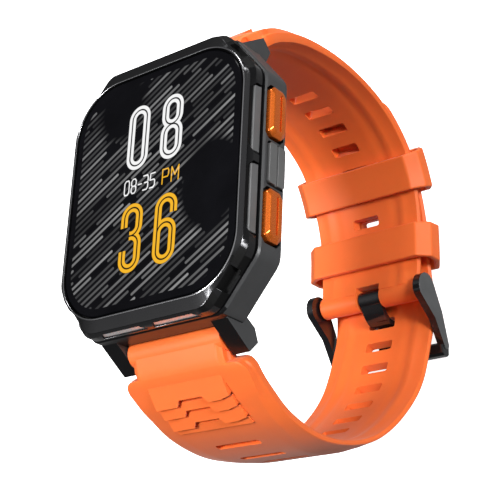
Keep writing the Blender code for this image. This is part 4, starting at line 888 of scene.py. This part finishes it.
# Half widths of the outer side's flat middle and of the crease beside it, along the strap
PLATEAU_AT, PLATEAU_HALF = [4.0, 14.0, 23.0, 36.0], [9.2, 9.2, 8.7, 7.6]
CREASE_AT, CREASE_HALF = [4.0, 12.0, 18.0, 27.0, 40.0], [14.2, 12.9, 12.3, 10.5, 9.8]
EDGE_TO_PLATEAU = 1.6
EDGE_TO_CREASE = 0.45
PLATEAU_TO_CREASE = 0.5


def strap_solid(path, half_width, end_thick, stop, rows):
    stations = [(distance, ROOT_HALF) for distance in ROOT_STATIONS]
    stations += [(SHOULDER + past, SHOULDER_HALF - short) for past, short in SHOULDER_EASE]
    full_from = SHOULDER + SHOULDER_EASE_LENGTH
    stations += [(distance, half_width(distance)) for distance in np.linspace(full_from, stop, rows)]
    loops = []
    for distance, half in stations:
        thick = thickness(distance, end_thick)
        plateau = min(half - EDGE_TO_PLATEAU, np.interp(distance, PLATEAU_AT, PLATEAU_HALF))
        crease = min(half - EDGE_TO_CREASE, np.interp(distance, CREASE_AT, CREASE_HALF))
        crease = max(crease, plateau + PLATEAU_TO_CREASE)
        loops.append(strap_loop(path, distance, half, thick, plateau, crease))
    return loft(loops)


def strap_prism(path, distance, outline, low, high):
    """An outline of (across, along) points, raised from low to high outward of the wrist side."""
    point, tangent, outward = path.at(distance)
    loops = []
    for height in (low, high):
        spots = [point + outward * height + tangent * along for _, along in outline]
        loops.append([(x, *spot) for (x, _), spot in zip(outline, spots)])
    return loft(loops)


def slot_tool(path, distance, half_width, low, high, length=SLOT_LENGTH, corner=SLOT_CORNER):
    return strap_prism(path, distance, rounded_rectangle(half_width, length / 2, corner, 3), low, high)


def roll_tool(centre, radius, half):
    builder = bmesh.new()
    add_prism(builder, circle(radius, centre, 48), -half, half, "x")
    return builder


# The grip: each ledge starts and ends at a distance along the strap and rises to a height at its end
GRIP_TIERS = [(4.5, 8.3, 1.05), (6.7, 10.45, 0.85), (9.1, 13.3, 0.85), (12.1, 14.6, 0.35)]
GRIP_HALF = 8.8
GRIP_NOTCH_HALF = 2.7
GRIP_NOTCH_SLANT = 1.0
GRIP_NOTCH_DEPTH = 1.25
GRIP_STEP_HALF = 2.4
GRIP_STEP_DROP = 0.75
GRIP_SIDE_SLOPE = 0.15
NOTCHED_FROM = 0.4
GROOVE_WIDTH = 0.4
NOTCH_GROOVE_WIDTH = 0.75
GROOVE_DEPTH = 0.35
TOOL_RISE = 2.0


def notch_outline():
    """The slanted notch in the middle of a stepped edge."""
    foot, head = GRIP_NOTCH_HALF + GRIP_NOTCH_SLANT, GRIP_NOTCH_HALF
    return [(-foot, 0.0), (-head, -GRIP_NOTCH_DEPTH), (head, -GRIP_NOTCH_DEPTH), (foot, 0.0)]


def grip_ledge(path, thick_at, start, end, height):
    """A wedge that rises from the strap to an edge, which is notched where the wedge is tall."""
    builder = bmesh.new()
    loops = []
    for share in (0.0, 0.34, 0.67, 1.0):
        distance = start + (end - start) * share
        top = thick_at(distance) + height * share + 0.01
        foot = thick_at(distance) - 0.8
        loops.append([
            path.spot(-GRIP_HALF, distance, foot),
            path.spot(-GRIP_HALF + GRIP_SIDE_SLOPE, distance, top),
            path.spot(GRIP_HALF - GRIP_SIDE_SLOPE, distance, top),
            path.spot(GRIP_HALF, distance, foot),
        ])
    add_loft(builder, loops)
    ledge = new_object("ledge", builder, [])
    if height > NOTCHED_FROM:
        past = GRIP_HALF + 1.0
        notch = notch_outline()
        cuts = [
            [(notch[0][0], 1.0), *notch, (notch[-1][0], 1.0)],
            [(GRIP_HALF - GRIP_STEP_HALF, 1.0), (GRIP_HALF - GRIP_STEP_HALF, 0.0),
             (past, -GRIP_STEP_DROP), (past, 1.0)],
        ]
        for outline in cuts:
            carve(ledge, strap_prism(path, end, outline, thick_at(end) - 1.5, thick_at(end) + TOOL_RISE))
    return ledge


def grip_groove(path, thick_at, end):
    """A narrow groove along the foot of a stepped edge, wider in the notch."""
    outer = -GRIP_STEP_DROP * GRIP_STEP_HALF / (GRIP_STEP_HALF + 1.0)
    edge = [(-GRIP_HALF, 0.0), *notch_outline(), (GRIP_HALF - GRIP_STEP_HALF, 0.0), (GRIP_HALF, outer)]
    outline = [(x, along - 0.03) for x, along in edge]
    for x, along in reversed(edge):
        in_notch = abs(x) < GRIP_NOTCH_HALF + 0.1
        outline.append((x, along + (NOTCH_GROOVE_WIDTH if in_notch else GROOVE_WIDTH)))
    return strap_prism(path, end, outline, thick_at(end) - GROOVE_DEPTH, thick_at(end) + TOOL_RISE)


def add_grip(item, path, thick_at):
    for start, end, height in GRIP_TIERS:
        ledge = grip_ledge(path, thick_at, start, end, height)
        modifier = item.modifiers.new("grip", "BOOLEAN")
        modifier.operation = "UNION"
        modifier.solver = "EXACT"
        modifier.object = ledge
        apply_modifiers(item)
        bpy.data.objects.remove(ledge)
    for _, end, height in GRIP_TIERS:
        if height > NOTCHED_FROM:
            carve(item, grip_groove(path, thick_at, end))


def build_upper_strap():
    builder = strap_solid(UPPER, upper_half, UPPER_THICK, UPPER.length - 1.0, 90)
    item = new_object("strap_12_oclock", builder, ["orange_silicone"])
    carve(item, roll_tool((BAR_Y, BAR_Z), ROLL_RADIUS, ROOT_HALF), operation="UNION")
    carve(item, roll_tool((PIN_Y, PIN_Z), BUCKLE_ROLL_RADIUS, UPPER_END_HALF), operation="UNION")
    carve(item, roll_tool((BAR_Y, BAR_Z), EYE_RADIUS, SHOULDER_HALF),
          roll_tool((PIN_Y, PIN_Z), EYE_RADIUS, SHOULDER_HALF))
    notch = bmesh.new()
    add_prism(notch, rounded_box((PIN_Y - 0.4, PIN_Z), 2.8, 3.8, 0.5), -3.0, 3.0, "x")
    carve(item, notch)
    for i in range(8):
        distance = UPPER.length - 11.5 - i * SLOT_PITCH
        carve(item, slot_tool(UPPER, distance, SLOT_HALF, -PIERCE, UPPER_THICK + PIERCE))
    add_grip(item, UPPER, lambda along: thickness(along, UPPER_THICK))
    tidy_mesh(item, 0.2)
    soften(item, 0.14, 2, 38.0, 42.0)
    place_piece(item, "watch", "orange_silicone", "strap_upper")


TREAD_COUNT = 3
TREAD_FROM_TONGUE = 51.8
TREAD_PITCH = 6.65
TREAD_HALF = 5.1
TREAD_LENGTH = 1.7
TREAD_CORNER = 0.55
TREAD_DEPTH = 0.9


def build_lower_strap():
    builder = strap_solid(LOWER, lower_half, LOWER_THICK, LOWER.length, 140)
    item = new_object("strap_6_oclock", builder, ["orange_silicone"])
    carve(item, roll_tool((-BAR_Y, BAR_Z), ROLL_RADIUS, ROOT_HALF), operation="UNION")
    carve(item, roll_tool((-BAR_Y, BAR_Z), EYE_RADIUS, SHOULDER_HALF))
    for i in range(-6, 7):
        distance = TONGUE_SLOT + i * SLOT_PITCH
        carve(item, slot_tool(LOWER, distance, SLOT_HALF, -PIERCE, LOWER_THICK + PIERCE))
    for i in range(TREAD_COUNT):
        distance = TONGUE_SLOT - TREAD_FROM_TONGUE - i * TREAD_PITCH
        floor = thickness(distance, LOWER_THICK) - TREAD_DEPTH
        carve(item, slot_tool(LOWER, distance, TREAD_HALF, floor, floor + 4.0, TREAD_LENGTH, TREAD_CORNER))
    add_grip(item, LOWER, lambda along: thickness(along, LOWER_THICK))
    tidy_mesh(item, 0.2)
    soften(item, 0.14, 2, 38.0, 42.0)
    place_piece(item, "watch", "orange_silicone", "strap_lower")


# ---------------------------------------------------------------- keepers

KEEPER_BEND = 2.0
KEEPER_RISE = 0.4
KEEPER_SIDE_FOOT = 0.6
KEEPER_SIDE_SHARE = 0.6


def keeper_ring(side, stack, grow):
    """A keeper's inside section round a stack of straps, or its outside where it grows by the wall."""
    bend = side - KEEPER_BEND + grow / 2
    corners = [
        (bend, -KEEPER_RISE - grow), (side + grow, KEEPER_SIDE_FOOT),
        (side + grow, KEEPER_SIDE_SHARE * stack), (bend, stack + KEEPER_RISE + grow),
    ]
    return corners + [(-x, v) for x, v in reversed(corners)]


def build_keeper(name, node, body, from_pin, slack, side_gap):
    distance = UPPER.length - from_pin
    stack = UPPER_THICK + LAYER_GAP + LOWER_THICK + slack
    side = upper_half(distance) + side_gap
    outer, inner = [], []
    for along in np.linspace(-KEEPER_LENGTH / 2, KEEPER_LENGTH / 2, 7):
        for target, grow in ((outer, KEEPER_WALL), (inner, 0.0)):
            ring = keeper_ring(side, stack, grow)
            target.append([UPPER.spot(x, distance + along, v) for x, v in ring])
    item = new_object(name, loft(outer + inner[::-1], closed=True), ["orange_silicone"])
    soften(item, 0.35, 3, 18.0, 50.0)
    place_piece(item, body, "orange_silicone", node)


# ---------------------------------------------------------------- case

# How far in from the glass's outline, and at what height
GLASS_EDGE = [(0.0, -1.0), (0.0, -0.32), (0.06, -0.14), (0.2, -0.03), (0.45, 0.0)]
# How far out from the bezel's opening, and at what height
LIP_PROFILE = [(0.02, -0.3), (0.02, 0.06), (0.10, 0.14), (0.24, 0.15), (0.36, 0.08), (0.40, -0.3)]


def glass_ring(grow, height, gap=0.0):
    """A loop at a height that runs beside the glass's outline."""
    ring = rounded_rectangle(GLASS_HALF_X + gap + grow, GLASS_HALF_Y + gap + grow, GLASS_CORNER + grow, 24)
    return [(x, y, height) for x, y in ring]


def build_glass():
    loops = [glass_ring(-inset, height) for inset, height in GLASS_EDGE]
    item = new_object("dial_glass", loft(loops), ["cover_glass"])
    soften(item, 0.0, smooth=30.0)
    place_piece(item, "watch", "cover_glass", "cover_glass")


def ring_loops(pairs, angles):
    return [[(x, y, height) for x, y in outline_at(outline, angles)] for outline, height in pairs]


def side_recess(builder, sign, low, high):
    slant = 1.3
    top = EDGE_Z - 0.12
    outline = [(low + slant, top), (high - slant, top), (high, -1.9), (high, -BEZEL_DEPTH - 0.5),
               (low, -BEZEL_DEPTH - 0.5), (low, -1.9)]
    floor, face = sign * (CASE_HALF_X - RECESS_DEPTH), sign * (CASE_HALF_X + 1.0)
    add_prism(builder, outline, min(floor, face), max(floor, face), "x")


def side_panel(builder, sign, low, high):
    """The grey plate in a side recess, with a groove left above it whose floor is painted near black as
    shade.
    """
    low, high = low + 0.35, high - 0.35
    loops = []
    for height, face in ((-1.55, 0.42), (-1.75, 0.22), (-BEZEL_DEPTH + 0.25, 0.02), (-BEZEL_DEPTH, 0.15)):
        slant = np.interp(height, [-1.9, -1.55], [0.0, 0.3])
        x_in, x_out = sign * (CASE_HALF_X - 0.8), sign * (CASE_HALF_X - face)
        loops.append([(x_in, low + slant, height), (x_out, low + slant, height),
                      (x_out, high - slant, height), (x_in, high - slant, height)])
    add_loft(builder, loops)


def end_recess(builder, sign, low, high, grow=0.0, floor_depth=RECESS_DEPTH, face_depth=-1.0):
    slant = 0.9
    top = EDGE_Z - 0.8 - grow
    bottom = -BEZEL_DEPTH + 0.5 + grow
    outline = [(low + slant + grow, top), (high - slant - grow, top), (high - grow, bottom),
               (low + grow, bottom)]
    floor = sign * (CASE_HALF_Y - floor_depth)
    face = sign * (CASE_HALF_Y - face_depth)
    add_prism(builder, outline, min(floor, face), max(floor, face), "y")


CORNER_SLOT_HALF = 2.3
CORNER_SLOT_INNER = -0.85
CORNER_SLOT_OUTER = 0.4
CORNER_SLOT_FLOOR = -2.7


def corner_slot(builder, sign_x, sign_y):
    """A slot down into a cut corner's slope, along the corner and just inside its outer edge."""
    along = np.array([CORNER_CUT_X * sign_x, -CORNER_CUT_Y * sign_y])
    along /= np.linalg.norm(along)
    out = np.array([along[1], -along[0]])
    middle = np.array([
        sign_x * (CASE_HALF_X - CORNER_CUT_X / 2), sign_y * (CASE_HALF_Y - CORNER_CUT_Y / 2)
    ])
    if out @ middle < 0:
        out = -out
    half, inner, outer = CORNER_SLOT_HALF, CORNER_SLOT_INNER, CORNER_SLOT_OUTER
    loops = []
    for height in (CORNER_SLOT_FLOOR, 0.5):
        loop = []
        for a, o in [(-half, inner), (half, inner), (half, outer), (-half, outer)]:
            x, y = middle + along * a + out * o
            loop.append((x, y, height))
        loops.append(loop)
    add_loft(builder, loops)


END_PLATE_GAP = 0.08
END_PLATE_DROP = 0.25
LIP_OUTSET = 0.62
FRONT_INSET = 0.45
FRONT_CUT_X = 0.5
FRONT_CUT_Y = 0.65
# Ends of each recess along a side, as the middle rib and the corners leave them
SIDE_RUNS = [(0.8, 14.4), (-14.4, -0.8)]
END_RUNS = [(0.75, 11.55), (-11.55, -0.75)]


def in_pocket(face):
    """Whether a bezel face is the floor of a recess or the inside of a corner slot."""
    x, y, z = face.center / MM
    side_floor = face.normal.x * x > 0.9 * abs(x) and 21.0 < abs(x) < CASE_HALF_X - 0.5
    end_floor = face.normal.y * y > 0.9 * abs(y) and 25.0 < abs(y) < CASE_HALF_Y - 0.5
    across = np.array([CORNER_CUT_Y, CORNER_CUT_X]) / math.hypot(CORNER_CUT_X, CORNER_CUT_Y)
    reach = across @ [abs(x) - CASE_HALF_X, abs(y) - CASE_HALF_Y + CORNER_CUT_Y]
    near_corner = abs(reach + 0.3) < 0.75 and abs(x) < 21.6 and abs(y) < 26.2
    in_slot = near_corner and -2.75 < z < -0.9
    slot_wall = in_slot and abs(face.normal.z) < 0.98
    slot_floor = in_slot and z < -2.6
    return slot_floor or (z < EDGE_Z - 0.1 and (side_floor or end_floor or slot_wall))


def build_bezel():
    opening = rounded_rectangle(GLASS_HALF_X + GLASS_GAP, GLASS_HALF_Y + GLASS_GAP, GLASS_CORNER)
    lip = rounded_rectangle(GLASS_HALF_X + LIP_OUTSET, GLASS_HALF_Y + LIP_OUTSET, GLASS_CORNER + 0.2)
    seat = rounded_rectangle(GLASS_HALF_X - SEAT_WIDTH, GLASS_HALF_Y - SEAT_WIDTH, GLASS_CORNER - SEAT_WIDTH)
    front = soft_octagon(CASE_HALF_X - FRONT_INSET, CASE_HALF_Y - FRONT_INSET,
                         CORNER_CUT_X + FRONT_CUT_X, CORNER_CUT_Y + FRONT_CUT_Y, CORNER_SOFT)
    rear = soft_octagon(CASE_HALF_X, CASE_HALF_Y, CORNER_CUT_X, CORNER_CUT_Y, CORNER_SOFT)
    angles = outline_angles(opening, front)
    pairs = [
        (opening, SEAT_Z), (opening, 0.02), (lip, -0.02), (front, EDGE_Z), (rear, EDGE_Z - OUTER_EDGE_DROP),
        (rear, -BEZEL_DEPTH), (seat, -BEZEL_DEPTH), (seat, SEAT_Z),
    ]
    bezel = loft(ring_loops(pairs, angles), closed=True)
    item = new_object("bezel_ring", bezel, ["gunmetal", "painted_shade_pocket"])
    for sign in (1, -1):
        tools = [(side_recess, low, high) for low, high in SIDE_RUNS]
        tools += [(end_recess, low, high) for low, high in END_RUNS]
        tools += [(corner_slot, 1), (corner_slot, -1)]
        for add_tool, *sizes in tools:
            tool = bmesh.new()
            add_tool(tool, sign, *sizes)
            carve(item, tool)
    # Recess floors and the insides of the corner slots take the near-black finish: painted shade
    for face in item.data.polygons:
        if in_pocket(face):
            face.material_index = 1
    tidy_mesh(item, 0.1)
    soften(item, 0.10, 2, 24.0, 34.0)
    place_piece(item, "watch", "gunmetal", "bezel")


def build_lip():
    loops = [glass_ring(grow, height, GLASS_GAP) for grow, height in LIP_PROFILE]
    item = new_object("bezel_lip", loft(loops, closed=True), ["bright_edge"])
    soften(item, 0.0, smooth=50.0)
    place_piece(item, "watch", "gunmetal")


def build_plates(name, material, runs, add_plate, *sizes):
    """One plate in each recess of a kind, as one piece."""
    builder = bmesh.new()
    for sign in (1, -1):
        for low, high in runs:
            add_plate(builder, sign, low, high, *sizes)
    item = new_object(name, builder, [material])
    soften(item, 0.08, 2)
    place_piece(item, "watch", "grey_trim")


def build_case():
    item = from_cad("mid_case", "case_body", ["grey_shell", "black_shell"])
    for face in item.data.polygons:
        if abs(face.normal.x) < 0.6:
            face.material_index = 1
    soften(item, 0.22, 2, 25.0, 35.0)
    place_piece(item, "watch", "grey_shell", "mid_case")
    item = from_cad("back_cover", "case_back", ["black_plastic"])
    soften(item, 0.15, 2, 25.0, 35.0)
    place_piece(item, "watch", "black_plastic", "back_cover")
    item = from_cad("side_trim", "button_divider", ["grey_trim"])
    soften(item, 0.12, 2, 25.0, 35.0)
    place_piece(item, "watch", "grey_trim", "side_trim")


def build_buttons():
    for name, body in (("button_upper", "upper_button"), ("button_lower", "lower_button")):
        item = from_cad(name, name + "_cap", ["orange_button"])
        soften(item, 0.16, 3, 25.0, 35.0)
        place_piece(item, body, "orange_button", name)


def build_buckle():
    item = from_cad("buckle_frame", "buckle_arms", ["black_steel", "arm_face"])
    outer = max(vertex.co.x for vertex in item.data.vertices)
    for face in item.data.polygons:
        if abs(face.center.x) > outer - 0.0002:
            face.material_index = 1
    soften(item, 0.3, 3, 30.0, 40.0)
    place_piece(item, "buckle", "black_steel", "buckle_frame")
    item = from_cad("buckle_tongue", "buckle_tang", ["black_steel"])
    soften(item, 0.18, 2, 30.0, 40.0)
    place_piece(item, "tongue", "black_steel", "buckle_tongue")


def build_sensor():
    """The rear window: a domed glass."""
    low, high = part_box("sensor_window")
    top = (high.z - ORIGIN.z) / MM
    bottom = (low.z - ORIGIN.z) / MM
    radius = (high.x - low.x) / 2 / MM
    loops = []
    for inset, height in ((0.0, top), (0.0, bottom + 0.6), (0.4, bottom + 0.32), (1.6, bottom + 0.1),
                          (3.6, bottom + 0.02), (5.8, bottom)):
        loops.append([(x, y, height) for x, y in circle(radius - inset, steps=56)])
    item = new_object("sensor_dome", loft(loops), ["sensor_glass"])
    soften(item, 0.0, smooth=40.0)
    place_piece(item, "watch", "sensor_glass", "sensor_window")


SLOT_OF = {row["node"]: row["material_slot"] for row in frame["record"]["subparts"]}


def finish_cad_nodes():
    """Give every CAD node the finish of its slot."""
    for name, node in frame["nodes"].items():
        slot = SLOT_OF[name]
        node.data.materials.clear()
        node.data.materials.append(MATERIALS[slot])


# ---------------------------------------------------------------- studio

# Grey of the sky from straight down, at 0, to straight up, at 1
SKY = [(0.0, 0.34), (0.34, 0.24), (0.48, 0.05), (0.66, 0.06), (0.80, 0.20), (1.0, 0.75)]
FLOOR_HALF = 3.0
WATCH_MIDDLE = Vector((0.0, 0.0, 0.045))
# Soft lamps: place and size in metres, and power in watts
LAMPS = [
    ("key", (-0.20, -0.16, 0.68), 0.14, 4.2),
    ("side", (0.62, 0.02, 0.40), 0.22, 4.6),
    ("rim", (0.05, 0.62, 0.42), 0.24, 2.6),
]


def build_studio():
    builder = bmesh.new()
    bmesh.ops.create_grid(builder, x_segments=1, y_segments=1, size=FLOOR_HALF)
    mesh = bpy.data.meshes.new("floor")
    builder.to_mesh(mesh)
    builder.free()
    floor = bpy.data.objects.new("floor", mesh)
    bpy.context.scene.collection.objects.link(floor)
    material, tree, shader = new_material("floor")
    speckle = noise(tree, 40.0)
    link(tree, ramp(tree, speckle, [(0.4, (0.90, 0.90, 0.90)), (0.6, (0.93, 0.93, 0.93))]),
         shader.inputs["Base Color"])
    shader.inputs["Roughness"].default_value = 0.9
    shader.inputs["Specular IOR Level"].default_value = 0.0
    shader.inputs["Emission Color"].default_value = (1.0, 1.0, 1.0, 1.0)
    shader.inputs["Emission Strength"].default_value = 0.95
    mesh.materials.append(material)
    floor.visible_diffuse = False
    floor.visible_glossy = False
    floor.visible_shadow = False

    world = bpy.data.worlds.new("studio")
    world.use_nodes = True
    tree = world.node_tree
    direction = tree.nodes.new("ShaderNodeTexCoord")
    parts = tree.nodes.new("ShaderNodeSeparateXYZ")
    tree.links.new(direction.outputs["Generated"], parts.inputs["Vector"])
    height = tree.nodes.new("ShaderNodeMath")
    height.operation = "MULTIPLY_ADD"
    height.inputs[1].default_value = 0.5
    height.inputs[2].default_value = 0.5
    tree.links.new(parts.outputs["Z"], height.inputs[0])
    sky = ramp(tree, height.outputs["Value"], [(place, (grey, grey, grey)) for place, grey in SKY])
    tree.links.new(sky, tree.nodes["Background"].inputs["Color"])
    tree.nodes["Background"].inputs["Strength"].default_value = 1.0
    bpy.context.scene.world = world

    for name, place, size, power in LAMPS:
        lamp = bpy.data.lights.new(name, "AREA")
        lamp.shape = "DISK"
        lamp.size = size
        lamp.energy = power
        item = bpy.data.objects.new(name, lamp)
        item.location = place
        item.rotation_mode = "QUATERNION"
        item.rotation_quaternion = (WATCH_MIDDLE - Vector(place)).to_track_quat("-Z", "Y")
        bpy.context.scene.collection.objects.link(item)


def build_camera():
    data = bpy.data.cameras.new("camera")
    data.lens = CAMERA_LENS
    data.sensor_width = 36.0
    data.clip_start = 0.01
    data.clip_end = 10.0
    camera = bpy.data.objects.new("camera", data)
    right, up = Vector(CAMERA_RIGHT), Vector(CAMERA_UP)
    back = right.cross(up)
    turn = Matrix((right, up, back)).transposed()
    camera.matrix_world = Matrix.Translation(ORIGIN + Vector(CAMERA_PLACE) * MM) @ turn.to_4x4()
    bpy.context.scene.collection.objects.link(camera)
    bpy.context.scene.camera = camera
    bpy.context.scene.view_settings.view_transform = "Standard"


build_camera()
build_studio()
finish_cad_nodes()
build_glass()
build_bezel()
build_lip()
build_plates("bezel_side_plates", "grey_panel", SIDE_RUNS, side_panel)
# The end plates' near-white finish is a painted highlight
build_plates("bezel_end_plates", "painted_highlight_panel", END_RUNS, end_recess, END_PLATE_GAP, 0.7, END_PLATE_DROP)
build_case()
build_buttons()
build_sensor()
build_upper_strap()
build_lower_strap()
build_keeper("keeper_loop_fixed", "keeper_fixed", "watch", FIXED_FROM_PIN, FIXED_SLACK, FIXED_SIDE_GAP)
build_keeper("keeper_loop_free", "keeper_free", "keeper", FREE_FROM_PIN, FREE_SLACK, FREE_SIDE_GAP)
build_buckle()
